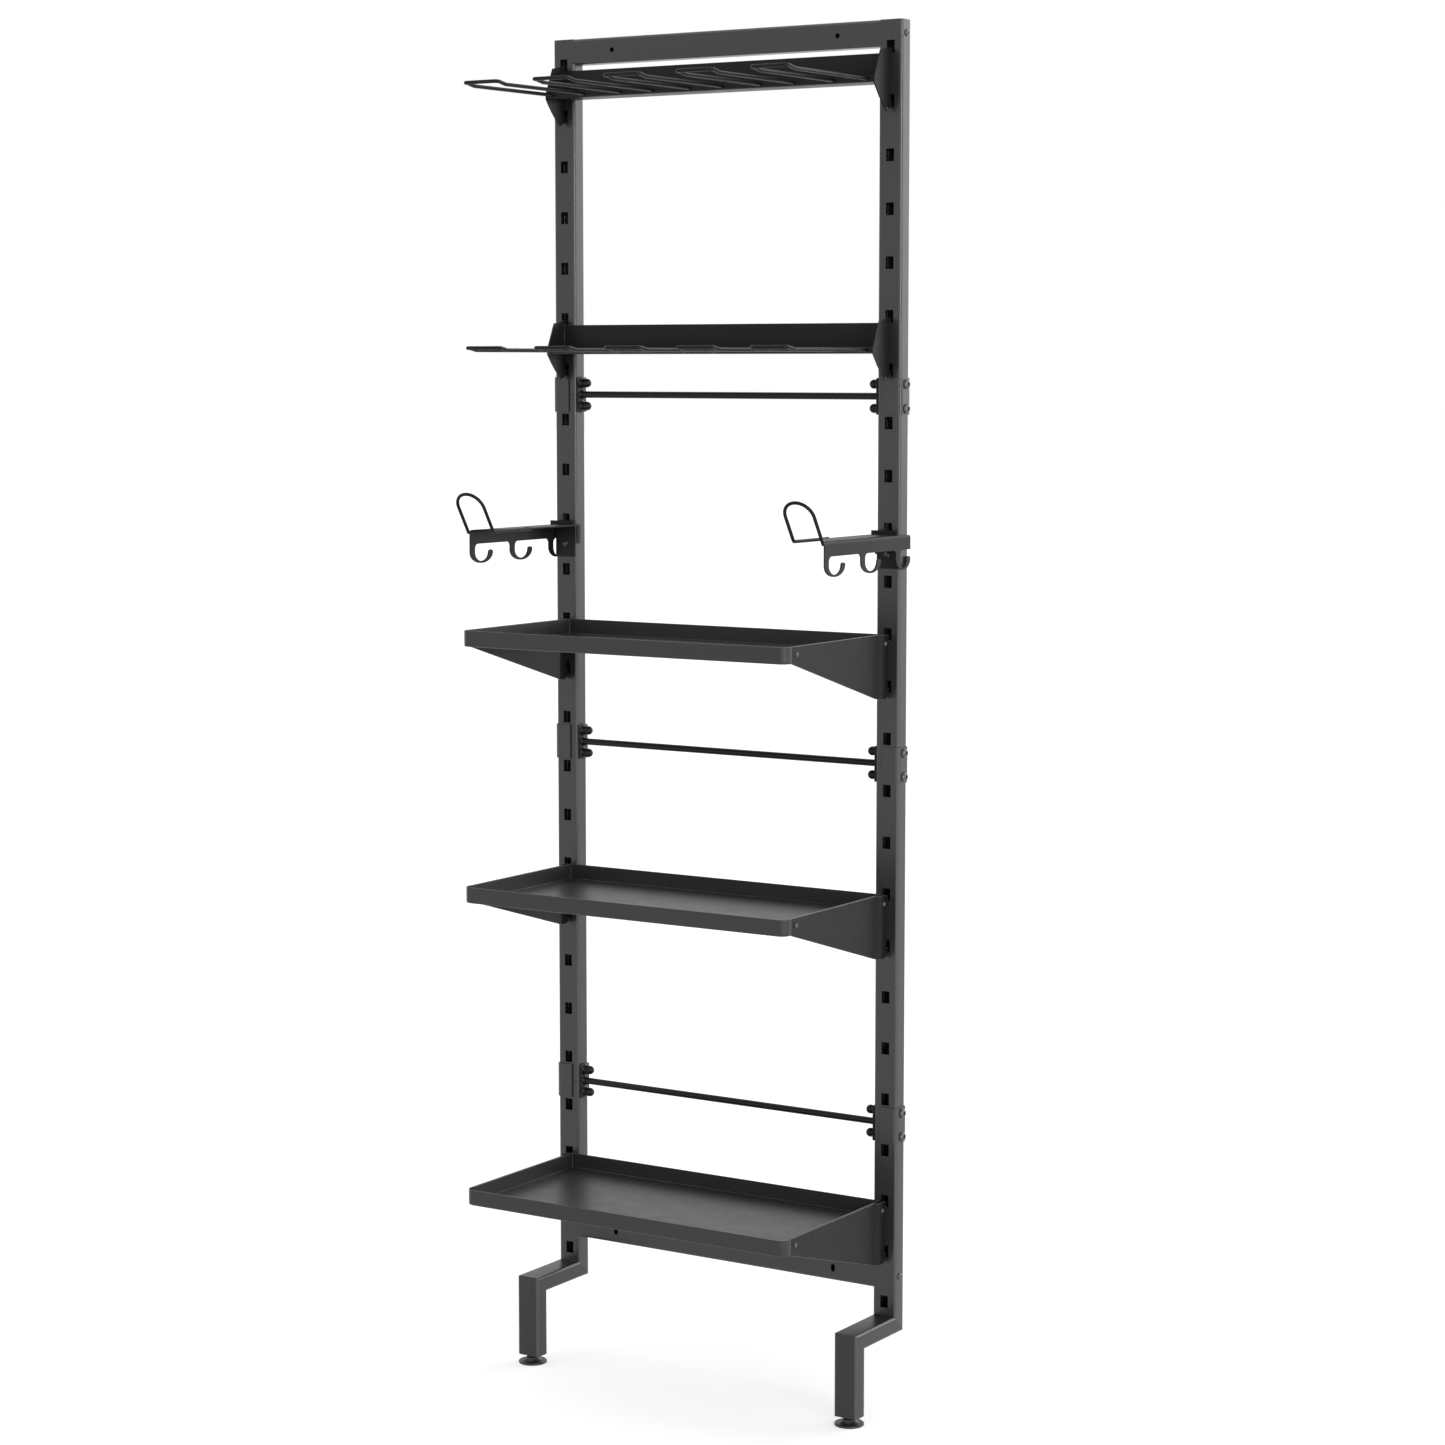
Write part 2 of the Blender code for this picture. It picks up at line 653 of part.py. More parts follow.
def make_bracket(side, name, index):
    """Shelf bracket: a tapered plate whose rear margin steps outwards to the line of the slots."""
    top = slot_height(index)
    heel_low = slot_height(index + 1) - BRACKET_HEEL
    front = SHELF_REACH - BRACKET_SEAM - GAP
    corners = [((front, top), 0), ((GAP, top), 0)]
    corners += hook_corners(index)
    corners += hook_corners(index + 1)
    corners += [
        ((GAP, heel_low), BRACKET_HEEL_RADIUS),
        ((BRACKET_TOE, heel_low + BRACKET_TOE_RISE), 0),
        ((front, top - SHELF_LIP), 0),
    ]
    plate = bmesh.new()
    ends = sorted((side * (BRACKET_INNER - OVERRUN), side * (HOOK_OUTER + OVERRUN)))
    add_prism(plate, side_outline(corners), "X", *ends)
    bracket = piece_from(name, plate)
    back = -(TUBE_WALL + LIP_THICKNESS + OVERRUN)
    step_front = BRACKET_MARGIN + BRACKET_STEP
    plan = [
        (BRACKET_OUTER, front + OVERRUN),
        (BRACKET_OUTER, step_front),
        (HOOK_OUTER, BRACKET_MARGIN),
        (HOOK_OUTER, back),
        (HOOK_INNER, back),
        (HOOK_INNER, BRACKET_MARGIN),
        (BRACKET_INNER, step_front),
        (BRACKET_INNER, front + OVERRUN),
    ]
    sheet = bmesh.new()
    outline = [(side * x, FRONT_Y - forward) for x, forward in plan]
    add_prism(sheet, outline, "Z", heel_low - OVERRUN, top + OVERRUN)
    combine(bracket, sheet, "INTERSECT")
    return bracket


def make_tray(name, index):
    """Shelf tray: a folded pan whose front corners wrap round to meet the brackets flush."""
    top = slot_height(index)
    low = top - SHELF_LIP
    inner = BRACKET_INNER - GAP
    front = FRONT_Y - SHELF_REACH
    seam = front + BRACKET_SEAM
    back = FRONT_Y - SHELF_BACK_CLEARANCE
    corners = [
        ((-inner, back), 0),
        ((-inner, seam), 0),
        ((-BRACKET_OUTER, seam), 0),
        ((-BRACKET_OUTER, front), SHELF_CORNER),
        ((BRACKET_OUTER, front), SHELF_CORNER),
        ((BRACKET_OUTER, seam), 0),
        ((inner, seam), 0),
        ((inner, back), 0),
    ]
    outer = rounded(corners, FINE_FACET)
    bm = bmesh.new()
    bend = arc((SHELF_BEND, low + SHELF_BEND), (SHELF_BEND, SHELF_BEND), -1, -2)
    layers = [(inset(outer, drawn_in), height) for drawn_in, height in bend]
    layers.append((outer, top))
    layers.append((inset(outer, SHELF_SHEET), top))
    layers.append((inset(outer, SHELF_SHEET), low + SHELF_SHEET))
    rings = [ring_of(bm, [(x, y, z) for x, y in outline]) for outline, z in layers]
    for ring, other in zip(rings, rings[1:]):
        bridge(bm, ring, other)
    bm.faces.new(rings[0])
    bm.faces.new(rings[-1])
    return piece_from(name, bm)


def make_shelf(place, index):
    pieces = [make_tray("shelf_" + place + "_tray", index)]
    for side, side_name in ((-1, "left"), (1, "right")):
        pieces.append(make_bracket(side, "shelf_" + place + "_bracket_" + side_name, index))
    carry("shelf_" + place, (0, FRONT_Y, slot_height(index)), pieces)


def make_tool_rack_frame(name, index):
    """Folded rail with an upturned front lip, welded between two hooked side plates."""
    slot = slot_height(index)
    top = slot - RAIL_TOP_DROP
    low = slot - RAIL_BOTTOM_DROP
    rear = 2 * GAP
    rail = [
        ((rear, top), 0),
        ((rear, low), RAIL_BEND),
        ((RAIL_REACH, low), RAIL_BEND),
        ((RAIL_REACH, low + RAIL_LIP), 0),
        ((RAIL_REACH - SHEET, low + RAIL_LIP), 0),
        ((RAIL_REACH - SHEET, low + SHEET), 0),
        ((rear + SHEET, low + SHEET), RAIL_BEND - SHEET),
        ((rear + SHEET, top), 0),
    ]
    bm = bmesh.new()
    add_prism(bm, side_outline(rail), "X", -POST_X, POST_X)
    frame = piece_from(name, bm)
    neck_top = slot - SLOT_HEIGHT / 2 + GAP + NECK_HEIGHT
    slot_low = slot_height(index + 1) - SLOT_HEIGHT / 2
    reach = RAIL_REACH + CHEEK_MARGIN
    corners = [((CHEEK_TOP, neck_top), 0)]
    corners += hook_corners(index)
    corners += hook_corners(index + 1)
    corners += [
        ((GAP, slot_low - CHEEK_MARGIN), 0),
        ((reach * CHEEK_TAIL_REACH_SHARE, slot_low - CHEEK_TAIL_DROP), 0),
        ((reach * CHEEK_CHIN_REACH_SHARE, low - CHEEK_CHIN_DROP), 0),
        ((reach, low - CHEEK_MARGIN), 0),
        ((reach, low + CHEEK_NOSE), 0),
        ((reach * CHEEK_SHOULDER_REACH_SHARE, neck_top - CHEEK_SHOULDER_DROP), 0),
    ]
    outline = side_outline(corners)
    for side in (-1, 1):
        bm = bmesh.new()
        add_prism(bm, outline, "X", *sorted((side * HOOK_INNER, side * HOOK_OUTER)))
        weld(frame, bm)
    bm = bmesh.new()
    ends = (FRONT_Y - RAIL_REACH - OVERRUN, FRONT_Y - RAIL_REACH + SHEET + OVERRUN)
    radius = hole_radius(LOOP_WIRE, WIRE_SIDES)
    height = low + SHEET + LOOP_SEAT + LOOP_WIRE / 2
    for centre in loop_centres():
        for leg in (-1, 1):
            across = centre + leg * (LOOP_WIDTH - LOOP_WIRE) / 2
            add_cylinder(bm, "Y", (across, height), radius, *ends, WIRE_SIDES)
    cut(frame, bm)
    return frame


def loop_centres():
    return [(number - (LOOPS - 1) / 2) * LOOP_PITCH for number in range(LOOPS)]


def make_loop(name, centre, index):
    """Long wire loop: two legs lying on the rail, and a front bar that a kink raises."""
    half = (LOOP_WIDTH - LOOP_WIRE) / 2
    height = slot_height(index) - RAIL_BOTTOM_DROP + SHEET + LOOP_SEAT + LOOP_WIRE / 2
    front = FRONT_Y - LOOP_REACH + LOOP_WIRE / 2
    kink_top = front + LOOP_CORNER + LOOP_WIRE / 2
    kink_low = kink_top + LOOP_KINK
    rear = FRONT_Y - 2 * GAP - SHEET - RAIL_BEND
    legs = []
    for side in (-1, 1):
        across = centre + side * half
        legs.append([
            ((across, rear, height), 0),
            ((across, kink_low, height), 0),
            ((across, kink_top, height + LOOP_RISE), 0),
            ((across, front, height + LOOP_RISE), LOOP_CORNER),
        ])
    return wire(name, rounded(legs[0] + legs[1][::-1], LOOP_FACET, closed=False), LOOP_WIRE)


def make_tool_rack(place, index):
    pieces = [make_tool_rack_frame("tool_rack_" + place + "_frame", index)]
    for number, centre in enumerate(loop_centres(), 1):
        pieces.append(make_loop("tool_rack_" + place + "_loop_" + str(number), centre, index))
    carry("tool_rack_" + place, (0, FRONT_Y, slot_height(index)), pieces)


def hook_row_outline(top):
    """Outline in Y and Z of the hanging plate: a band with open hooks along its lower edge."""
    back = -TUBE_DEPTH
    band_low = top - HOOK_BAND
    turn = band_low - HOOK_DEPTH / 2
    pitch = (SIDE_REACH - LAST_HOOK_FORWARD) / (HOOKS - 1)
    points = [Vector((-back, top)), Vector((-SIDE_REACH, top))]
    for number in range(HOOKS):
        front = -SIDE_REACH + number * pitch
        last = number == HOOKS - 1
        bore = -back - HOOK_TIP - HOOK_STEM - front if last else HOOK_BORE
        rear = front + HOOK_STEM + bore + HOOK_TIP
        if number:
            throat = (front - HOOK_THROAT_RADIUS, band_low - HOOK_THROAT_RADIUS)
            points += arc(throat, (HOOK_THROAT_RADIUS, HOOK_THROAT_RADIUS), 1, 0, FINE_FACET)
        half = (rear - front) / 2
        points += arc((front + half, turn), (half, HOOK_DEPTH / 2 + HOOK_SOLE), 2, 4, HOOK_FACET)
        points += arc((rear - HOOK_TIP / 2, turn), (HOOK_TIP / 2, HOOK_TIP_RISE), 0, 2, FINE_FACET)[1:-1]
        inside = (front + HOOK_STEM + bore / 2, turn)
        points += arc(inside, (bore / 2, HOOK_DEPTH / 2), 4, 2, HOOK_FACET)
        crown = (front + HOOK_STEM + HOOK_THROAT_RADIUS, band_low - HOOK_THROAT_RADIUS)
        points += arc(crown, (HOOK_THROAT_RADIUS, HOOK_THROAT_RADIUS), 2, 1, FINE_FACET)
    points.append(Vector((-back, band_low)))
    return [(FRONT_Y + point[0], point[1]) for point in points]


def round_side_bend(plate, side, top):
    """Round the fold between flange and hanging plate, and fill its inner corner in front of the post."""
    low = top - SHEET
    inside = SIDE_BEND - SHEET
    centre = (SIDE_PLATE_OUTER - SIDE_BEND, top - SIDE_BEND)
    fill = [(SIDE_PLATE_INNER + GAP, low + GAP), (centre[0], low + GAP)]
    fill += arc(centre, (inside, inside), 1, 0, FINE_FACET)
    fill.append((SIDE_PLATE_INNER + GAP, centre[1]))
    bm = bmesh.new()
    ends = (FRONT_Y - SIDE_REACH + GAP, FRONT_Y - 4 * GAP)
    add_prism(bm, [(side * x, z) for x, z in fill], "Y", *ends)
    weld(plate, bm)
    corner = [(centre[0], top + OVERRUN)]
    corner += arc(centre, (SIDE_BEND, SIDE_BEND), 1, 0, FINE_FACET)
    corner += [(SIDE_PLATE_OUTER + OVERRUN, centre[1]), (SIDE_PLATE_OUTER + OVERRUN, top + OVERRUN)]
    bm = bmesh.new()
    add_prism(bm, [(side * x, z) for x, z in corner], "Y", FRONT_Y - SIDE_REACH - OVERRUN, OVERRUN)
    cut(plate, bm)


def make_side_rack_plate(side, name):
    """Flange that straddles the post, with its hanging hook row, rear leg, ear, lip and hook."""
    slot = slot_height(SIDE_SLOT)
    top = slot - SIDE_FLANGE_DROP
    low = top - SHEET
    middle = (SIDE_PLATE_INNER + SIDE_PLATE_OUTER) / 2
    plan = [
        (SIDE_FLANGE_INNER, SIDE_REACH - SIDE_NOTCH),
        (SIDE_PLATE_OUTER - SIDE_BEND, SIDE_REACH - GAP),
        (middle, SIDE_REACH - GAP),
        (middle, -SIDE_STRADDLE),
        (POST_OUTER + GAP, -SIDE_STRADDLE),
        (POST_OUTER + GAP, 2 * GAP),
        (POST_INNER - GAP, 2 * GAP),
        (POST_INNER - GAP, -SIDE_STRADDLE),
        (SIDE_FLANGE_INNER, -SIDE_STRADDLE),
    ]
    bm = bmesh.new()
    add_prism(bm, [(side * x, FRONT_Y - forward) for x, forward in plan], "Z", low, top)
    plate = piece_from(name, bm)
    bm = bmesh.new()
    ends = sorted((side * SIDE_PLATE_INNER, side * SIDE_PLATE_OUTER))
    add_prism(bm, hook_row_outline(top + GAP), "X", *ends)
    weld(plate, bm)
    round_side_bend(plate, side, top)
    lip_ends = sorted((side * (SIDE_FLANGE_INNER + GAP), side * (middle - GAP)))
    leg = (side * POST_X - SIDE_LEG_WIDTH / 2, side * POST_X + SIDE_LEG_WIDTH / 2)
    ear_ends = sorted((side * (SIDE_FLANGE_INNER + GAP), side * (SIDE_FLANGE_INNER + GAP + SHEET)))
    folds = (
        (lip_ends, (SIDE_LIP_FORWARD, SIDE_LIP_FORWARD - SHEET), (low + GAP, top + SIDE_LIP)),
        (leg, (GAP + SHEET, GAP), (top - SIDE_LEG_DROP, top - GAP)),
        (ear_ends, (GAP, GAP - SIDE_STRADDLE), (top - SIDE_EAR_DROP, top - GAP)),
    )
    for across, forward, height in folds:
        bm = bmesh.new()
        low_corner = (across[0], FRONT_Y - forward[0], height[0])
        high_corner = (across[1], FRONT_Y - forward[1], height[1])
        add_box(bm, low_corner, high_corner)
        weld(plate, bm)
    corners = [
        ((TONGUE_FOOT, low + GAP), 0),
        ((TONGUE_TOP, slot + TONGUE_RISE), 0),
        ((GAP, slot + TONGUE_RISE), 0),
    ]
    hook = hook_corners(SIDE_SLOT)
    neck_low = hook[-1][0][1]
    corners += hook[:-1]
    corners += [((GAP + SHEET / 2, neck_low), 0), ((GAP + SHEET / 2, low + GAP), 0)]
    bm = bmesh.new()
    add_prism(bm, side_outline(corners), "X", *sorted((side * HOOK_INNER, side * HOOK_OUTER)))
    weld(plate, bm)
    return plate


def make_ring(side, name):
    """Wire ring leaning forward from the flange's front end.

    Its inner end bends back along the flange's inner edge, and its outer end stops short of the plate.
    """
    inner = SIDE_FLANGE_INNER - GAP - RING_WIRE / 2
    outer = (SIDE_PLATE_INNER + SIDE_PLATE_OUTER) / 2
    half = (outer - inner) / 2
    lean = Vector((0, -RING_LEAN, RING_RISE)).normalized()
    length = math.hypot(RING_LEAN, RING_RISE) - half
    overhang = (RING_WIRE - GAP - RING_WIRE / 2 * lean.z) / -lean.y
    base = slot_height(SIDE_SLOT) - SIDE_FLANGE_DROP - SHEET / 2

    def place(across, along_lean):
        return Vector((side * across, FRONT_Y - SIDE_REACH - RING_WIRE, base)) + lean * along_lean

    foot = place(inner, 0)
    leg = [(foot + Vector((0, RING_FOOT, 0)), 0), (foot, RING_FOOT_BEND), (place(inner, length), 0)]
    path = rounded(leg, closed=False)
    crown = arc(((inner + outer) / 2, length), (half, half), 2, 0, FINE_FACET)[1:-1]
    path += [place(*point) for point in crown]
    path += [place(outer, length), place(outer, -overhang)]
    return wire(name, path, RING_WIRE)


def make_side_rack(side, side_name):
    name = "side_rack_" + side_name
    pieces = (make_side_rack_plate(side, name + "_plate"), make_ring(side, name + "_ring"))
    carry(name, (side * POST_X, FRONT_Y, slot_height(SIDE_SLOT)), pieces)


def make_frame():
    """Posts, couplers, bolts, cross rods and beams."""
    for side, side_name in ((-1, "left"), (1, "right")):
        for index, section in enumerate(SECTION_NAMES):
            make_post_section(side, side_name, index)
            height = joint_height(index)
            place = side_name + "_" + section
            make_coupler(side, place, height)
            for end, offset in (("high", COUPLER_BOLT_OFFSET), ("low", -COUPLER_BOLT_OFFSET)):
                make_coupler_bolt(side, "coupler_bolt_" + place + "_" + end, height + offset)
        make_foot(side, side_name)
        make_levelling_foot(side, side_name)
    for index, section in enumerate(SECTION_NAMES):
        make_cross_rod("cross_rod_" + section, joint_height(index))
    make_beam("top_beam", POST_TOP - TUBE_WIDTH / 2, round_hole(TOP_HOLE_DIAMETER))
    bottom_hole = upright_hole(BOTTOM_HOLE_WIDTH, BOTTOM_HOLE_HEIGHT)
    make_beam("bottom_beam", slot_height(BOTTOM_BEAM_SLOT), bottom_hole)


def build():
    clear_scene()
    make_frame()
    for place, index in SHELF_SLOTS.items():
        make_shelf(place, index)
    for place, index in TOOL_RACK_SLOTS.items():
        make_tool_rack(place, index)
    for side, side_name in ((-1, "left"), (1, "right")):
        make_side_rack(side, side_name)


build()
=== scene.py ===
"""Dressed scene of the slotted wall rack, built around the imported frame."""

import json
import math

import bmesh
import bpy
from mathutils import Matrix, Vector


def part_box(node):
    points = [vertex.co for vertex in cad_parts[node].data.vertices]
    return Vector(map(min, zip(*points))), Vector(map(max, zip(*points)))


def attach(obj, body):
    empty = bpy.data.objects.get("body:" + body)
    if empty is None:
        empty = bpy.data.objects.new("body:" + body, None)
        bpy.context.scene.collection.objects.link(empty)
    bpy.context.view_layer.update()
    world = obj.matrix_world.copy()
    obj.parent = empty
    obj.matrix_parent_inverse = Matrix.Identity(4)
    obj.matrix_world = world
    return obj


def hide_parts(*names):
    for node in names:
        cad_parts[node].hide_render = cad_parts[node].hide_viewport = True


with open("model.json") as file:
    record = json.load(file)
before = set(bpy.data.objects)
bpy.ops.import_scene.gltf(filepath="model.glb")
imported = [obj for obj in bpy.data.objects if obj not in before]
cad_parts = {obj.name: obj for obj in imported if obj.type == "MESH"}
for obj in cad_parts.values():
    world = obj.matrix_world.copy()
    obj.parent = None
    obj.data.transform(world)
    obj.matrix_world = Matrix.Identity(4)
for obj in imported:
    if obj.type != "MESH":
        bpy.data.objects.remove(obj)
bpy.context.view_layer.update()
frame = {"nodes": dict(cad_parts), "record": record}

# Camera, fitted to the photograph's 1445 x 1445 frame
CAMERA_PLACE = (2.6591, -4.1897, 1.5391)
CAMERA_YAW = math.radians(32.568)
CAMERA_PITCH = math.radians(6.170)
CAMERA_LENS = 82.58
CAMERA_SENSOR = 36.0

# Light and floor
WORLD_SOFT = 0.5
WORLD_SEEN = 1.0
SUNS = {
    "key": ((0.84, -0.52, 0.06), 32, 2.4),
    "side": ((0.50, 0.85, 0.03), 80, 2.2),
    "top": ((-0.15, -0.30, 0.94), 70, 0.35),
}
FLOOR_SIZE = 60.0
FLOOR_COLOUR = (0.80, 0.80, 0.80, 1.0)
FLOOR_ROUGHNESS = 0.9
FLOOR_GLOW = 0.52
WHITE = (1.0, 1.0, 1.0, 1.0)

# Finishes: the noise in them, and each one's colour, tint, least and most roughness, grain's scale
# and depth, metallic and specular level
DRIFT_SCALE = 4.0
GLOSS_SCALE = 38.0
DRIFT_DETAIL = 3.0
GRAIN_DETAIL = 2.0
GRAIN_STRENGTH = 0.5
NOISE_RANGE = (0.3, 0.7)
FINISHES = {
    "powder_coat": (
        (0.017, 0.017, 0.017), (0.021, 0.021, 0.0205), (0.28, 0.34), 900.0, 0.00004, 0.0, 0.60
    ),
    "black_wire": (
        (0.004, 0.004, 0.004), (0.007, 0.007, 0.007), (0.34, 0.44), 1200.0, 0.00003, 0.0, 0.16
    ),
    "black_screw": (
        (0.085, 0.085, 0.087), (0.11, 0.11, 0.113), (0.28, 0.36), 1500.0, 0.00003, 0.4, 0.5
    ),
    "zinc": ((0.28, 0.28, 0.29), (0.36, 0.36, 0.37), (0.30, 0.45), 700.0, 0.00003, 0.9, 0.5),
    "black_plastic": (
        (0.010, 0.010, 0.010), (0.014, 0.014, 0.014), (0.40, 0.50), 1400.0, 0.00008, 0.0, 0.5
    ),
    # Darker, duller copy of the powder coat: painted shade on the trays and on the feet's arms and
    # legs.
    "shaded_coat": (
        (0.015, 0.015, 0.015), (0.019, 0.019, 0.0185), (0.33, 0.39), 900.0, 0.00004, 0.0, 0.45
    ),
    "plate_coat": (
        (0.010, 0.010, 0.010), (0.013, 0.013, 0.0127), (0.38, 0.44), 900.0, 0.00004, 0.0, 0.14
    ),
    "dark_coat": (
        (0.006, 0.006, 0.006), (0.008, 0.008, 0.008), (0.32, 0.38), 900.0, 0.00004, 0.0, 0.22
    ),
    # Lighter copy of the powder coat for the rounded corners of tubes: a painted highlight.
    "corner_highlight": (
        (0.032, 0.032, 0.0315), (0.040, 0.040, 0.0392), (0.28, 0.34), 900.0, 0.00004, 0.0, 0.70
    ),
    # Lighter copy of the powder coat for the broken edges of sheets: a painted highlight along
    # their rims.
    "edge_highlight": (
        (0.080, 0.080, 0.079), (0.12, 0.12, 0.119), (0.28, 0.36), 900.0, 0.00003, 0.0, 0.5
    ),
}

# Meshes of turned, swept and refined pieces
MERGE = 0.000001
FLAT_ANGLE = math.radians(1.0)
ARC_ANGLE = math.radians(12.0)
EDGE_ANGLE = math.radians(50.0)
MITRE_ANGLE = math.radians(25.0)
SHARP_ANGLE = math.radians(35.0)
BEND_STEP = math.radians(9.0)
EDGE_SEGMENTS = 2
ARC_SEGMENTS = 2
ROUND_PROFILE = 0.5
# Faces of a tube's rounded corners, which take the painted highlight: their normal's largest part
# is under the first, their perimeter over the second.
CORNER_HIGHLIGHT_LARGEST_PART = 0.98
CORNER_HIGHLIGHT_LEAST_PERIMETER = 0.05
TUBE_EDGE = 0.0006
TUBE_ARC = 0.0008
SHEET_EDGE = 0.00045
TRAY_ARC = 0.0012
FINE_SIDES = 36
PAD_SIDES = 72
WIRE_SIDES = 20
DOME_STEPS = 8
CURVE_STEPS = 3
SUNK = 0.0003

# Heads, as shares of their height, radius, or key's width or depth
RIM_SHARE = 1 / 8
KEY_SIDES = 6
KEY_LAND_SHARE = 0.66
KEY_MOUTH_SHARE = 1.12
KEY_CHAMFER_SHARE = 1 / 12
KEY_POINT_SHARES = (1.15, 1 / 8)
SCREW_KEY_DEPTH_SHARE = 0.6
RIVET_RIM_SHARE = 1 / 5
RIVET_FLAT_SHARE = 1 / 8

# Frame: coupler bolts, cross rods and beams
BOLT_HEAD = 0.0042
BOLT_SHANK_RADIUS = 0.004
BOLT_HEAD_RADIUS = 0.007
BOLT_KEY = 0.005
BOLT_KEY_DEPTH = 0.0026
ROD_FLARE = (
    (0.0, 0.0076),
    (0.0006, 0.0067),
    (0.0016, 0.0059),
    (0.0032, 0.0052),
    (0.005, 0.005),
)
ROD_FLANGE = 0.0025
BOSS_RADIUS = 0.0068
BOSS_CURVE = (
    (0.0, 1.45),
    (0.05, 1.20),
    (0.14, 1.01),
    (0.28, 0.93),
    (0.44, 0.96),
    (0.58, 1.0),
    (0.72, 0.95),
    (0.85, 0.80),
    (0.95, 0.56),
    (1.0, 0.30),
)
BEAM_COPE = 0.0035

# Screws, rivets and weld beads: radius and height of each head, and a screw's key width
SLOT_PITCH = 0.0762
TAIL_SLOTS = {"tool_rack_upper": 1, "tool_rack_lower": 6}
BEAM_SCREW = (0.0052, 0.0028, 0.0030)
BRACKET_SCREW = (0.0036, 0.0021, 0.0022)
LEG_RIVET = (0.0050, 0.0026)
TAIL_RIVET = (0.0026, 0.0018)
BRACKET_SET_BACK = 0.0052
FRONT_SCREW_SET_BACK = 0.0299
FRONT_SCREW_DROP = 0.0114
REAR_SCREW_FORWARD = 0.0076
REAR_SCREW_DROP = 0.013
TAIL_RIVET_FORWARD = 0.0110
TAIL_RIVET_DROP = 0.0120
LEG_RIVET_RISE = 0.0215
BEAD_RADIUS = 0.0015
BEAD_RIPPLE = 0.0012
BEAD_RIPPLE_SHARE = 0.10
BEAD_STEPS = 4
BEAD_BLUNTNESS = 0.35

# Levelling feet: height and radius of each point on the pad's outside and bore
THREAD_PITCH = 0.0015
THREAD_DEPTH = 0.0009
THREAD_ROWS = 6
STEM_RADIUS = 0.005
PAD_CURVE = (
    (0.0, 0.02105),
    (0.0005, 0.02175),
    (0.0026, 0.02175),
    (0.0034, 0.02095),
    (0.0036, 0.01955),
    (0.0031, 0.01775),
    (0.0034, 0.01575),
    (0.0048, 0.01275),
    (0.0074, 0.0104),
    (0.0090, 0.0097),
    (0.0097, 0.0088),
    (0.0099, 0.0080),
    (0.0099, 0.0058),
)
PAD_BORE = ((0.0095, 0.0054), (0.003, 0.0054))

# Tool racks: loops of wire
LOOP_WIRE = 0.0056
LOOP_CORNER = 0.0048
LOOP_KINK = 0.016
KINK_BEND = 0.010

# Side racks: wire rings
RING_WIRE = 0.005
RING_LEAN = 0.0345
RING_RISE = 0.0556
RING_BEND = 0.005
RING_OVERHANG = 0.0049
RING_SEAM = 0.013
LEG_FACE = 0.0023
WIRE_END_EASE = 0.0007


def material_nodes(name):
    """New material as (material, nodes, links, Principled shader)."""
    material = bpy.data.materials.new(name)
    material.use_nodes = True
    tree = material.node_tree
    return material, tree.nodes, tree.links, tree.nodes["Principled BSDF"]


def noise(nodes, links, place, scale, detail):
    texture = nodes.new("ShaderNodeTexNoise")
    texture.inputs["Scale"].default_value = scale
    texture.inputs["Detail"].default_value = detail
    links.new(place, texture.inputs["Vector"])
    return texture.outputs["Fac"]


def spread(nodes, links, value, low, high):
    """Map a noise value to a range."""
    node = nodes.new("ShaderNodeMapRange")
    node.inputs["From Min"].default_value = NOISE_RANGE[0]
    node.inputs["From Max"].default_value = NOISE_RANGE[1]
    node.inputs["To Min"].default_value = low
    node.inputs["To Max"].default_value = high
    links.new(value, node.inputs["Value"])
    return node.outputs["Result"]


def coated(name, colour, tint, roughness, grain, grain_depth, metallic, specular):
    """Finish with a grain in its bump, and soft drifts of colour and gloss."""
    material, nodes, links, shader = material_nodes(name)
    place = nodes.new("ShaderNodeTexCoord").outputs["Object"]
    drift = noise(nodes, links, place, DRIFT_SCALE, DRIFT_DETAIL)
    mix = nodes.new("ShaderNodeMix")
    mix.data_type = "RGBA"
    mix.inputs["A"].default_value = (*colour, 1.0)
    mix.inputs["B"].default_value = (*tint, 1.0)
    links.new(drift, mix.inputs["Factor"])
    links.new(mix.outputs["Result"], shader.inputs["Base Color"])
    gloss = noise(nodes, links, place, GLOSS_SCALE, DRIFT_DETAIL)
    links.new(spread(nodes, links, gloss, *roughness), shader.inputs["Roughness"])
    bump = nodes.new("ShaderNodeBump")
    bump.inputs["Strength"].default_value = GRAIN_STRENGTH
    bump.inputs["Distance"].default_value = grain_depth
    links.new(noise(nodes, links, place, grain, GRAIN_DETAIL), bump.inputs["Height"])
    links.new(bump.outputs["Normal"], shader.inputs["Normal"])
    shader.inputs["Metallic"].default_value = metallic
    shader.inputs["Specular IOR Level"].default_value = specular
    return material


MATERIALS = {name: coated("rack_" + name, *values) for name, values in FINISHES.items()}
SLOT_OF = {part["node"]: part["material_slot"] for part in frame["record"]["subparts"]}
BODY_OF = {
    node: body
    for body, nodes in frame["record"]["behaviour"]["bodies"].items()
    for node in nodes
}


def place_piece(piece, body, slot, finishes=()):
    """Link a piece, give it its own finishes or its slot's, and let it ride on a body."""
    for finish in finishes or (slot,):
        piece.data.materials.append(MATERIALS[finish])
    bpy.context.scene.collection.objects.link(piece)
    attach(piece, body)


def piece_from(name, bm, body, slot):
    """Smooth piece of a built mesh, riding on a body."""
    bmesh.ops.recalc_face_normals(bm, faces=bm.faces)
    mesh = bpy.data.meshes.new(name)
    bm.to_mesh(mesh)
    bm.free()
    mesh.shade_smooth()
    mesh.set_sharp_from_angle(angle=SHARP_ANGLE)
    piece = bpy.data.objects.new(name, mesh)
    place_piece(piece, body, slot)
    return piece


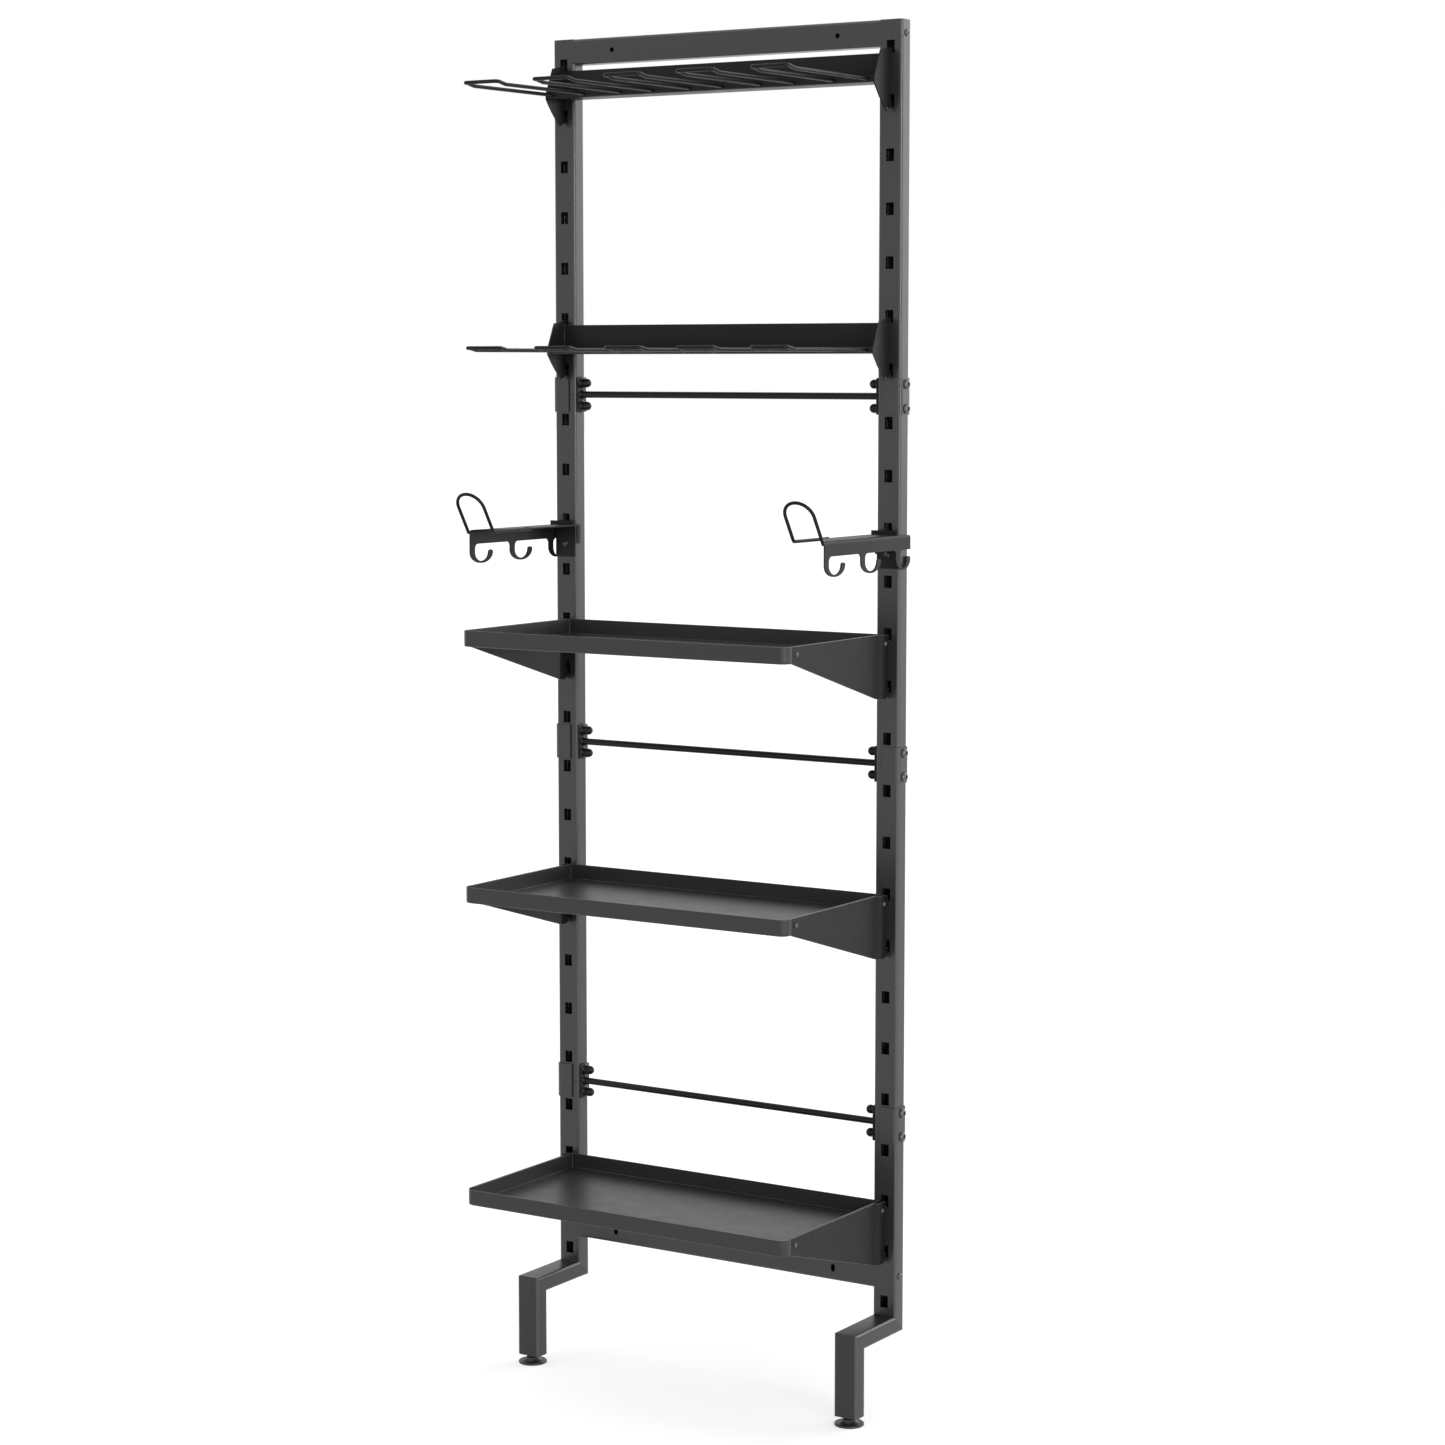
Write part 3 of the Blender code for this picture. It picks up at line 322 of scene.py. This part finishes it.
def stand_in(node, bm):
    """Piece of a built mesh that stands for a node."""
    piece = piece_from(node + "_dressed", bm, BODY_OF[node], SLOT_OF[node])
    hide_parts(node)
    return piece


def middle_of(node):
    low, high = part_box(node)
    return (low + high) / 2


def facing(place, direction):
    """Matrix that puts a turned form's foot at a place, with its axis along a direction."""
    turned = Vector(direction).to_track_quat("Z", "Y").to_matrix().to_4x4()
    return Matrix.Translation(place) @ turned


def skin(bm, rings):
    """Join rings of as many points each into a closed form."""
    sides = len(rings[0])
    for ring, other in zip(rings, rings[1:]):
        for index in range(sides):
            after = (index + 1) % sides
            bm.faces.new((ring[index], ring[after], other[after], other[index]))
    bm.faces.new(rings[0])
    bm.faces.new(rings[-1])


def turn(bm, matrix, profile, sides=FINE_SIDES):
    """Add a turned form. Profile points are (height, radius) or (height, half width, flats)."""
    rings = []
    for height, radius, *flats in profile:
        ring = []
        for index in range(sides):
            angle = 2 * math.pi * index / sides
            reach = radius
            if flats:
                half = math.pi / flats[0]
                reach = radius / math.cos(angle % (2 * half) - half)
            place = Vector((reach * math.cos(angle), reach * math.sin(angle), height))
            ring.append(bm.verts.new(matrix @ place))
        rings.append(ring)
    skin(bm, rings)


def smooth_curve(points, steps=CURVE_STEPS):
    """Points on a smooth curve through the given ones."""
    points = [Vector(point) for point in points]
    result = []
    for index in range(len(points) - 1):
        before = points[max(index - 1, 0)]
        start, end = points[index], points[index + 1]
        after = points[min(index + 2, len(points) - 1)]
        for step in range(steps):
            t = step / steps
            pull = (end - before) * t + (2 * before - 5 * start + 4 * end - after) * t ** 2
            bend = (3 * start - before - 3 * end + after) * t ** 3
            result.append(start + (pull + bend) / 2)
    return result + [points[-1]]


def dome(foot, edge, top, inner, height):
    """Profile of a domed head from its edge's top to a flat of the inner radius."""
    profile = [(foot, edge)]
    for step in range(DOME_STEPS + 1):
        angle = math.pi / 2 * step / DOME_STEPS
        radius = inner + (edge - inner) * math.cos(angle)
        profile.append((top + (height - top) * math.sin(angle), radius))
    return profile


def button_head(foot, radius, height, key, depth):
    """Profile of a button head with a hexagonal recess."""
    half = key / 2
    point_depth, point_radius = KEY_POINT_SHARES
    profile = dome(foot, radius, height * RIM_SHARE, key * KEY_LAND_SHARE, height)
    return profile + [
        (height, half * KEY_MOUTH_SHARE, KEY_SIDES),
        (height - key * KEY_CHAMFER_SHARE, half, KEY_SIDES),
        (height - depth, half, KEY_SIDES),
        (height - depth * point_depth, key * point_radius),
    ]


def sweep(bm, path, radii, sides=WIRE_SIDES):
    """Add a round bar along a path, with its radius given at each point."""
    last = len(path) - 1
    across = None
    rings = []
    for index, (point, radius) in enumerate(zip(path, radii)):
        ahead = (path[min(index + 1, last)] - path[max(index - 1, 0)]).normalized()
        across = across - across.project(ahead) if across else ahead.orthogonal()
        across.normalize()
        other = ahead.cross(across)
        ring = []
        for step in range(sides):
            angle = 2 * math.pi * step / sides
            outward = math.cos(angle) * across + math.sin(angle) * other
            ring.append(bm.verts.new(point + radius * outward))
        rings.append(ring)
    skin(bm, rings)


def rounded_path(corners):
    """Path through corners, each a place and the radius of its bend."""
    places = [Vector(place) for place, radius in corners]
    path = [places[0]]
    for index in range(1, len(places) - 1):
        corner = places[index]
        back = (places[index - 1] - corner).normalized()
        ahead = (places[index + 1] - corner).normalized()
        opening = back.angle(ahead)
        radius = corners[index][1]
        centre = corner + (back + ahead).normalized() * radius / math.sin(opening / 2)
        start = corner + back * radius / math.tan(opening / 2)
        turning = math.pi - opening
        steps = max(2, math.ceil(turning / BEND_STEP))
        axis = back.cross(ahead)
        for step in range(steps + 1):
            turned = Matrix.Rotation(-turning * step / steps, 3, axis) @ (start - centre)
            path.append(centre + turned)
    path.append(places[-1])
    return path


def add_wire(bm, path, diameter):
    """Add a wire whose ends are eased."""
    first = path[0] + (path[1] - path[0]).normalized() * WIRE_END_EASE
    last = path[-1] + (path[-2] - path[-1]).normalized() * WIRE_END_EASE
    path = [path[0], first] + path[1:-1] + [last, path[-1]]
    radius = diameter / 2
    radii = [radius - WIRE_END_EASE] + [radius] * (len(path) - 2) + [radius - WIRE_END_EASE]
    sweep(bm, path, radii)


def needs_bevel(edge):
    """Whether an edge is a sharp one, or a blunter one that runs slantwise round a mitre."""
    angle = edge.calc_face_angle(0)
    run = edge.verts[1].co - edge.verts[0].co
    slanting = min(math.hypot(run.x, run.y), math.hypot(run.x, run.z)) > SUNK
    return angle > EDGE_ANGLE or (angle > MITRE_ANGLE and slanting)


def paint_shade_beyond(bm, point, normal):
    """Split faces along a plane, and give those beyond it the second material, a darker copy that
    paints shade on them.
    """
    whole = list(bm.verts) + list(bm.edges) + list(bm.faces)
    bmesh.ops.bisect_plane(bm, geom=whole, dist=MERGE, plane_co=point, plane_no=normal)
    for face in bm.faces:
        if (face.calc_center_median() - point).dot(normal) > 0:
            face.material_index = 1


def paint_corner_highlights(bm, index):
    """Give the rounded corners that run along a tube a lighter material of their own: a painted
    highlight along the corners.
    """
    for face in bm.faces:
        turned = max(abs(part) for part in face.normal) < CORNER_HIGHLIGHT_LARGEST_PART
        if turned and face.calc_perimeter() > CORNER_HIGHLIGHT_LEAST_PERIMETER:
            face.material_index = index


def refined(node, width, finishes, edge_highlight_index=-1, arc=0.0, stretch=0.0, seam=None):
    """A node's own shape with its edges broken, standing for the node.

    Its facetted bends are rounded over the arc length, and its ends stretched along X. Beyond the
    seam, a plane's point and normal, it has the second finish, a darker copy that paints shade
    there;
    a third finish, lighter, paints a highlight on a tube's corners. The bevel faces of its broken
    edges take the finish at the given index, which paints a highlight along them.
    """
    mesh = frame["nodes"][node].data.copy()
    mesh.materials.clear()
    bm = bmesh.new()
    bm.from_mesh(mesh)
    bmesh.ops.remove_doubles(bm, verts=bm.verts, dist=MERGE)
    bmesh.ops.dissolve_limit(bm, angle_limit=FLAT_ANGLE, verts=bm.verts, edges=bm.edges)
    bmesh.ops.recalc_face_normals(bm, faces=bm.faces)
    if arc:
        bends = [edge for edge in bm.edges if ARC_ANGLE < edge.calc_face_angle(0) < EDGE_ANGLE]
        bmesh.ops.bevel(
            bm, geom=bends, offset=arc, segments=ARC_SEGMENTS, profile=ROUND_PROFILE,
            affect="EDGES", clamp_overlap=True
        )
    if seam:
        paint_shade_beyond(bm, *seam)
    if len(finishes) > 2:
        paint_corner_highlights(bm, 2)
    reach = max(vertex.co.x for vertex in bm.verts)
    weights = bm.edges.layers.float.new("bevel_weight_edge")
    for edge in bm.edges:
        at_end = stretch and all(abs(vertex.co.x) > reach - width for vertex in edge.verts)
        if at_end:
            edge.smooth = False
        elif needs_bevel(edge):
            edge[weights] = 1.0
    for vertex in bm.verts:
        if stretch and abs(vertex.co.x) > reach - width:
            vertex.co.x += math.copysign(stretch, vertex.co.x)
    bm.to_mesh(mesh)
    bm.free()
    mesh.shade_smooth()
    piece = bpy.data.objects.new(node + "_dressed", mesh)
    place_piece(piece, BODY_OF[node], SLOT_OF[node], finishes)
    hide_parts(node)
    bevel = piece.modifiers.new("edges", "BEVEL")
    bevel.width = width
    bevel.segments = EDGE_SEGMENTS
    bevel.limit_method = "WEIGHT"
    # When the index is set, the bevel faces take that finish: a painted highlight along the edges.
    bevel.material = edge_highlight_index
    flats = piece.modifiers.new("flats", "WEIGHTED_NORMAL")
    flats.keep_sharp = True


def refined_sheet(node, finish="plate_coat", arc=0.0):
    # The broken edges take the second finish: a painted highlight along the sheet's edges.
    refined(node, SHEET_EDGE, (finish, "edge_highlight"), 1, arc)


def foot_shade_seam(node):
    """Mitre plane between the post and the arm of a foot, beyond which the arm and leg take painted
    shade: a point on it and its forward normal.
    """
    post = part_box(node.replace("_foot", "_lower"))[0].y
    outer = frame["nodes"][node].data.vertices
    low = min(vertex.co.z for vertex in outer if vertex.co.y > post + SUNK)
    return Vector((0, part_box(node)[1].y, low)), Vector((0, -1, -1)).normalized()


def dress_posts_and_beams():
    # Powder coat; a darker copy that paints shade on a foot's arm and leg; a lighter copy that
    # paints a highlight on tube corners.
    coats_with_painted_light = ("powder_coat", "shaded_coat", "corner_highlight")
    for node in SLOT_OF:
        if node.startswith("post_") and node.endswith("_foot"):
            refined(node, TUBE_EDGE, coats_with_painted_light, seam=foot_shade_seam(node))
        elif node.startswith("post_"):
            refined(node, TUBE_EDGE, coats_with_painted_light, arc=TUBE_ARC)
        elif node.endswith("_beam"):
            refined(node, TUBE_EDGE, coats_with_painted_light, arc=TUBE_ARC, stretch=BEAM_COPE)
        elif node.startswith("coupler_") and not node.startswith("coupler_bolt"):
            refined(node, SHEET_EDGE, coats_with_painted_light, arc=TUBE_ARC)


def dress_coupler_bolts():
    for node in SLOT_OF:
        if not node.startswith("coupler_bolt"):
            continue
        low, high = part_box(node)
        middle = (low + high) / 2
        side = math.copysign(1, middle.x)
        seat = max(abs(low.x), abs(high.x)) - BOLT_HEAD
        inner = min(abs(low.x), abs(high.x)) - seat
        profile = [
            (inner, BOLT_SHANK_RADIUS - 2 * SUNK),
            (inner + 2 * SUNK, BOLT_SHANK_RADIUS),
            (0, BOLT_SHANK_RADIUS),
        ]
        profile += button_head(0, BOLT_HEAD_RADIUS, BOLT_HEAD, BOLT_KEY, BOLT_KEY_DEPTH)
        bm = bmesh.new()
        turn(bm, facing((side * seat, middle.y, middle.z), (side, 0, 0)), profile)
        stand_in(node, bm)


def add_flange(bm, low, high):
    """Add a flange between two corners, with its edges broken."""
    plate = bmesh.ops.create_cube(bm, size=1.0)["verts"]
    size = Matrix.Diagonal((*(high - low), 1.0))
    place = Matrix.Translation((low + high) / 2)
    bmesh.ops.transform(bm, matrix=place @ size, verts=plate)
    edges = {edge for vertex in plate for edge in vertex.link_edges}
    bmesh.ops.bevel(
        bm, geom=list(edges), offset=SHEET_EDGE, segments=EDGE_SEGMENTS, profile=ROUND_PROFILE,
        affect="EDGES"
    )


def dress_cross_rods():
    bolts = [node for node in SLOT_OF if node.startswith("coupler_bolt_right")]
    for node in SLOT_OF:
        if not node.startswith("cross_rod"):
            continue
        low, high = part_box(node)
        middle = (low + high) / 2
        face = high.x
        root = face - ROD_FLANGE
        heights = [middle_of(bolt).z for bolt in bolts if low.z < middle_of(bolt).z < high.z]
        along = [vertex.co.x for vertex in frame["nodes"][node].data.vertices]
        boss = root - min(place for place in along if place > root / 2)
        curve = smooth_curve([(deep * boss, BOSS_RADIUS * wide, 0) for deep, wide in BOSS_CURVE])
        boss_profile = [(-SUNK, curve[0].y)] + [(point.x, point.y) for point in curve]
        flare = [(deep - root, radius) for deep, radius in ROD_FLARE]
        profile = [(-face + SUNK, flare[0][1])] + flare
        profile += [(-height, radius) for height, radius in reversed(profile)]
        bm = bmesh.new()
        turn(bm, facing((0, middle.y, middle.z), (1, 0, 0)), profile)
        for side in (-1, 1):
            ends = sorted((side * root, side * face))
            add_flange(bm, Vector((ends[0], low.y, low.z)), Vector((ends[1], high.y, high.z)))
            for height in heights:
                matrix = facing((side * root, middle.y, height), (-side, 0, 0))
                turn(bm, matrix, boss_profile)
        stand_in(node, bm).data.materials[0] = MATERIALS["dark_coat"]


def dress_stem(node):
    """Stem with a thread that winds up its whole length."""
    low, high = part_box(node)
    middle = (low + high) / 2
    rows = round((high.z - low.z) / THREAD_PITCH * THREAD_ROWS)
    bm = bmesh.new()
    rings = []
    for row in range(rows + 1):
        height = low.z + (high.z - low.z) * row / rows
        ring = []
        for index in range(FINE_SIDES):
            share = index / FINE_SIDES
            phase = (height / THREAD_PITCH - share) % 1.0
            depth = THREAD_DEPTH if row in (0, rows) else THREAD_DEPTH * abs(2 * phase - 1)
            angle = 2 * math.pi * share
            radius = STEM_RADIUS - depth
            across = (radius * math.cos(angle), radius * math.sin(angle))
            ring.append(bm.verts.new((middle.x + across[0], middle.y + across[1], height)))
        rings.append(ring)
    skin(bm, rings)
    stand_in(node, bm)


def dress_pad(node):
    middle = middle_of(node)
    curve = smooth_curve([(height, radius, 0) for height, radius in PAD_CURVE])
    profile = [(point.x, point.y) for point in curve] + list(PAD_BORE)
    bm = bmesh.new()
    turn(bm, facing((middle.x, middle.y, 0), (0, 0, 1)), profile, PAD_SIDES)
    stand_in(node, bm)


def dress_levelling_feet():
    for side in ("left", "right"):
        dress_stem("levelling_stem_" + side)
        dress_pad("levelling_pad_" + side)


def dress_shelves():
    for node in SLOT_OF:
        if node.startswith("shelf_"):
            if node.endswith("_tray"):
                # Trays take the darker, duller copy of the powder coat: painted shade.
                refined_sheet(node, "shaded_coat", TRAY_ARC)
            else:
                refined_sheet(node)


def dress_loop(node):
    low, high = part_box(node)
    radius = LOOP_WIRE / 2
    half = (high.x - low.x) / 2 - radius
    centre = (high.x + low.x) / 2
    leg = low.z + radius
    bar = high.z - radius
    front = low.y + radius
    kink = front + LOOP_CORNER + radius
    corners = []
    for side in (-1, 1):
        across = centre + side * half
        corners.append([
            ((across, high.y, leg), 0),
            ((across, kink + LOOP_KINK, leg), KINK_BEND),
            ((across, kink, bar), KINK_BEND),
            ((across, front, bar), LOOP_CORNER),
        ])
    bm = bmesh.new()
    add_wire(bm, rounded_path(corners[0] + corners[1][::-1]), LOOP_WIRE)
    stand_in(node, bm)


def dress_tool_racks():
    for node in SLOT_OF:
        if node.startswith("tool_rack") and node.endswith("_frame"):
            refined_sheet(node)
        elif node.startswith("tool_rack"):
            dress_loop(node)


def dress_ring(node):
    low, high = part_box(node)
    radius = RING_WIRE / 2
    side = math.copysign(1, low.x + high.x)
    inner = min(abs(low.x), abs(high.x)) + radius
    outer = max(abs(low.x), abs(high.x)) - radius
    half = (outer - inner) / 2
    lean = Vector((0, -RING_LEAN, RING_RISE))
    foot = Vector((0, low.y + radius + RING_LEAN, high.z - radius - RING_RISE))
    straight = lean.length - half
    lean.normalize()

    def place(across, up):
        return foot + Vector((side * across, 0, 0)) + lean * up

    path = rounded_path([
        ((side * inner, high.y, foot.z), 0),
        (place(inner, 0), RING_BEND),
        (place(inner, straight), 0),
    ])
    steps = 2 * math.ceil(math.pi / 2 / BEND_STEP)
    for step in range(1, steps):
        angle = math.pi * step / steps
        across = (inner + outer) / 2 - half * math.cos(angle)
        path.append(place(across, straight + half * math.sin(angle)))
    path += [place(outer, straight), place(outer, -RING_OVERHANG)]
    bm = bmesh.new()
    add_wire(bm, path, RING_WIRE)
    stand_in(node, bm)


def dress_side_racks():
    for side in ("left", "right"):
        refined_sheet("side_rack_" + side + "_plate")
        dress_ring("side_rack_" + side + "_ring")


def screw(name, place, direction, size, body):
    """Button-head screw whose head stands on a face."""
    radius, height, key = size
    depth = height * SCREW_KEY_DEPTH_SHARE
    profile = [(-2 * SUNK, radius - SUNK)] + button_head(0, radius, height, key, depth)
    bm = bmesh.new()
    turn(bm, facing(place, direction), profile)
    piece_from(name, bm, body, "black_screw")


def rivet(name, place, direction, size, body):
    radius, height = size
    profile = [(-2 * SUNK, radius - SUNK)]
    profile += dome(0, radius, height * RIVET_RIM_SHARE, radius * RIVET_FLAT_SHARE, height)
    bm = bmesh.new()
    turn(bm, facing(place, direction), profile)
    piece_from(name, bm, body, "powder_coat")


def bead(name, start, end, body):
    """Weld bead between two points, with the ripples of its passes."""
    start, end = Vector(start), Vector(end)
    count = BEAD_STEPS * max(2, round((end - start).length / BEAD_RIPPLE))
    path = [start.lerp(end, index / count) for index in range(count + 1)]
    radii = []
    for index in range(count + 1):
        swell = math.sin(math.pi * (index + 1) / (count + 2)) ** BEAD_BLUNTNESS
        ripple = 1 + BEAD_RIPPLE_SHARE * math.cos(2 * math.pi * index / BEAD_STEPS)
        radii.append(BEAD_RADIUS * swell * ripple)
    bm = bmesh.new()
    sweep(bm, path, radii)
    piece_from(name, bm, body, "powder_coat")


def add_fasteners():
    """Screws of the beams and brackets, and the tool racks' rivets."""
    post_low, post_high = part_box("post_right_top")
    front = post_low.y
    for side, side_name in ((-1, "left"), (1, "right")):
        outward = (side, 0, 0)
        for beam in ("top_beam", "bottom_beam"):
            middle = middle_of(beam)
            place = (side * post_high.x, middle.y, middle.z)
            screw(beam + "_screw_" + side_name, place, outward, BEAM_SCREW, BODY_OF[beam])
        for shelf in ("top", "middle", "bottom"):
            tray_low, tray_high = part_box("shelf_" + shelf + "_tray")
            bracket = "shelf_" + shelf + "_bracket_" + side_name
            outer = max(abs(corner.x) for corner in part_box(bracket))
            forward = tray_low.y + FRONT_SCREW_SET_BACK
            height = tray_high.z - FRONT_SCREW_DROP
            place = (side * (outer - BRACKET_SET_BACK), forward, height)
            screw(bracket + "_front_screw", place, outward, BRACKET_SCREW, BODY_OF[bracket])
            place = (side * outer, front - REAR_SCREW_FORWARD, tray_high.z - REAR_SCREW_DROP)
            screw(bracket + "_rear_screw", place, outward, BRACKET_SCREW, BODY_OF[bracket])
        for rack, slot in TAIL_SLOTS.items():
            body = BODY_OF[rack + "_frame"]
            outer = max(abs(corner.x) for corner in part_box(rack + "_frame"))
            height = post_high.z - (slot + 0.5) * SLOT_PITCH - TAIL_RIVET_DROP
            place = (side * outer, front - TAIL_RIVET_FORWARD, height)
            rivet(rack + "_rivet_" + side_name, place, outward, TAIL_RIVET, body)


def add_side_rack_joints():
    """Rivet on each rear leg, and the welds that hold each ring."""
    post_x = middle_of("post_right_top").x
    for side, side_name in ((-1, "left"), (1, "right")):
        rack = "side_rack_" + side_name
        body = BODY_OF[rack + "_plate"]
        plate_low, plate_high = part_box(rack + "_plate")
        ring_low, ring_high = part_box(rack + "_ring")
        foot = ring_high.z - RING_WIRE / 2 - RING_RISE
        leg_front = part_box("post_right_top")[0].y - LEG_FACE
        place = (side * post_x, leg_front, plate_low.z + LEG_RIVET_RISE)
        rivet(rack + "_leg_rivet", place, (0, -1, 0), LEG_RIVET, body)
        seam = side * (min(abs(ring_low.x), abs(ring_high.x)) + RING_WIRE)
        rear = ring_high.y - 2 * BEAD_RADIUS
        for name, rise in (("top", BEAD_RADIUS), ("under", -BEAD_RADIUS)):
            ends = [(seam, place, foot + rise) for place in (rear - RING_SEAM, rear)]
            bead(rack + "_weld_" + name, *ends, body)
        across = side * (max(abs(ring_low.x), abs(ring_high.x)) - RING_WIRE / 2)
        ends = [(across, plate_low.y, foot - rise) for rise in (RING_OVERHANG, 0)]
        bead(rack + "_weld_front", *ends, body)


def make_camera():
    data = bpy.data.cameras.new("camera")
    data.lens = CAMERA_LENS
    data.sensor_width = CAMERA_SENSOR
    camera = bpy.data.objects.new("camera", data)
    camera.location = CAMERA_PLACE
    camera.rotation_euler = (math.pi / 2 - CAMERA_PITCH, 0.0, CAMERA_YAW)
    bpy.context.scene.collection.objects.link(camera)
    bpy.context.scene.camera = camera


def seen_directly(nodes, links):
    """Value of 1 for camera, glossy and transmission rays, and of 0 for the light on a surface."""
    path = nodes.new("ShaderNodeLightPath")
    value = path.outputs["Is Camera Ray"]
    for kind in ("Is Glossy Ray", "Is Transmission Ray"):
        either = nodes.new("ShaderNodeMath")
        either.operation = "MAXIMUM"
        links.new(value, either.inputs[0])
        links.new(path.outputs[kind], either.inputs[1])
        value = either.outputs["Value"]
    return value


def make_floor():
    mesh = bpy.data.meshes.new("floor")
    bm = bmesh.new()
    bmesh.ops.create_grid(bm, x_segments=1, y_segments=1, size=FLOOR_SIZE)
    bm.to_mesh(mesh)
    bm.free()
    floor = bpy.data.objects.new("floor", mesh)
    bpy.context.scene.collection.objects.link(floor)
    material, nodes, links, shader = material_nodes("floor_white")
    shader.inputs["Base Color"].default_value = FLOOR_COLOUR
    shader.inputs["Roughness"].default_value = FLOOR_ROUGHNESS
    shader.inputs["Specular IOR Level"].default_value = 0.0
    shader.inputs["Emission Color"].default_value = WHITE
    glow = nodes.new("ShaderNodeMath")
    glow.operation = "MULTIPLY"
    glow.inputs[1].default_value = FLOOR_GLOW
    links.new(seen_directly(nodes, links), glow.inputs[0])
    links.new(glow.outputs["Value"], shader.inputs["Emission Strength"])
    mesh.materials.append(material)


def make_light():
    world = bpy.data.worlds.new("studio")
    world.use_nodes = True
    bpy.context.scene.world = world
    nodes, links = world.node_tree.nodes, world.node_tree.links
    background = nodes["Background"]
    background.inputs["Color"].default_value = WHITE
    strength = nodes.new("ShaderNodeMapRange")
    strength.inputs["To Min"].default_value = WORLD_SOFT
    strength.inputs["To Max"].default_value = WORLD_SEEN
    links.new(seen_directly(nodes, links), strength.inputs["Value"])
    links.new(strength.outputs["Result"], background.inputs["Strength"])
    for name, (direction, angle, power) in SUNS.items():
        data = bpy.data.lights.new(name, "SUN")
        data.angle = math.radians(angle)
        data.energy = power
        light = bpy.data.objects.new(name, data)
        light.rotation_euler = (-Vector(direction)).to_track_quat("-Z", "Y").to_euler()
        bpy.context.scene.collection.objects.link(light)


bpy.context.scene.view_settings.view_transform = "Standard"
dress_posts_and_beams()
dress_coupler_bolts()
dress_cross_rods()
dress_levelling_feet()
dress_shelves()
dress_tool_racks()
dress_side_racks()
add_fasteners()
add_side_rack_joints()
make_camera()
make_floor()
make_light()
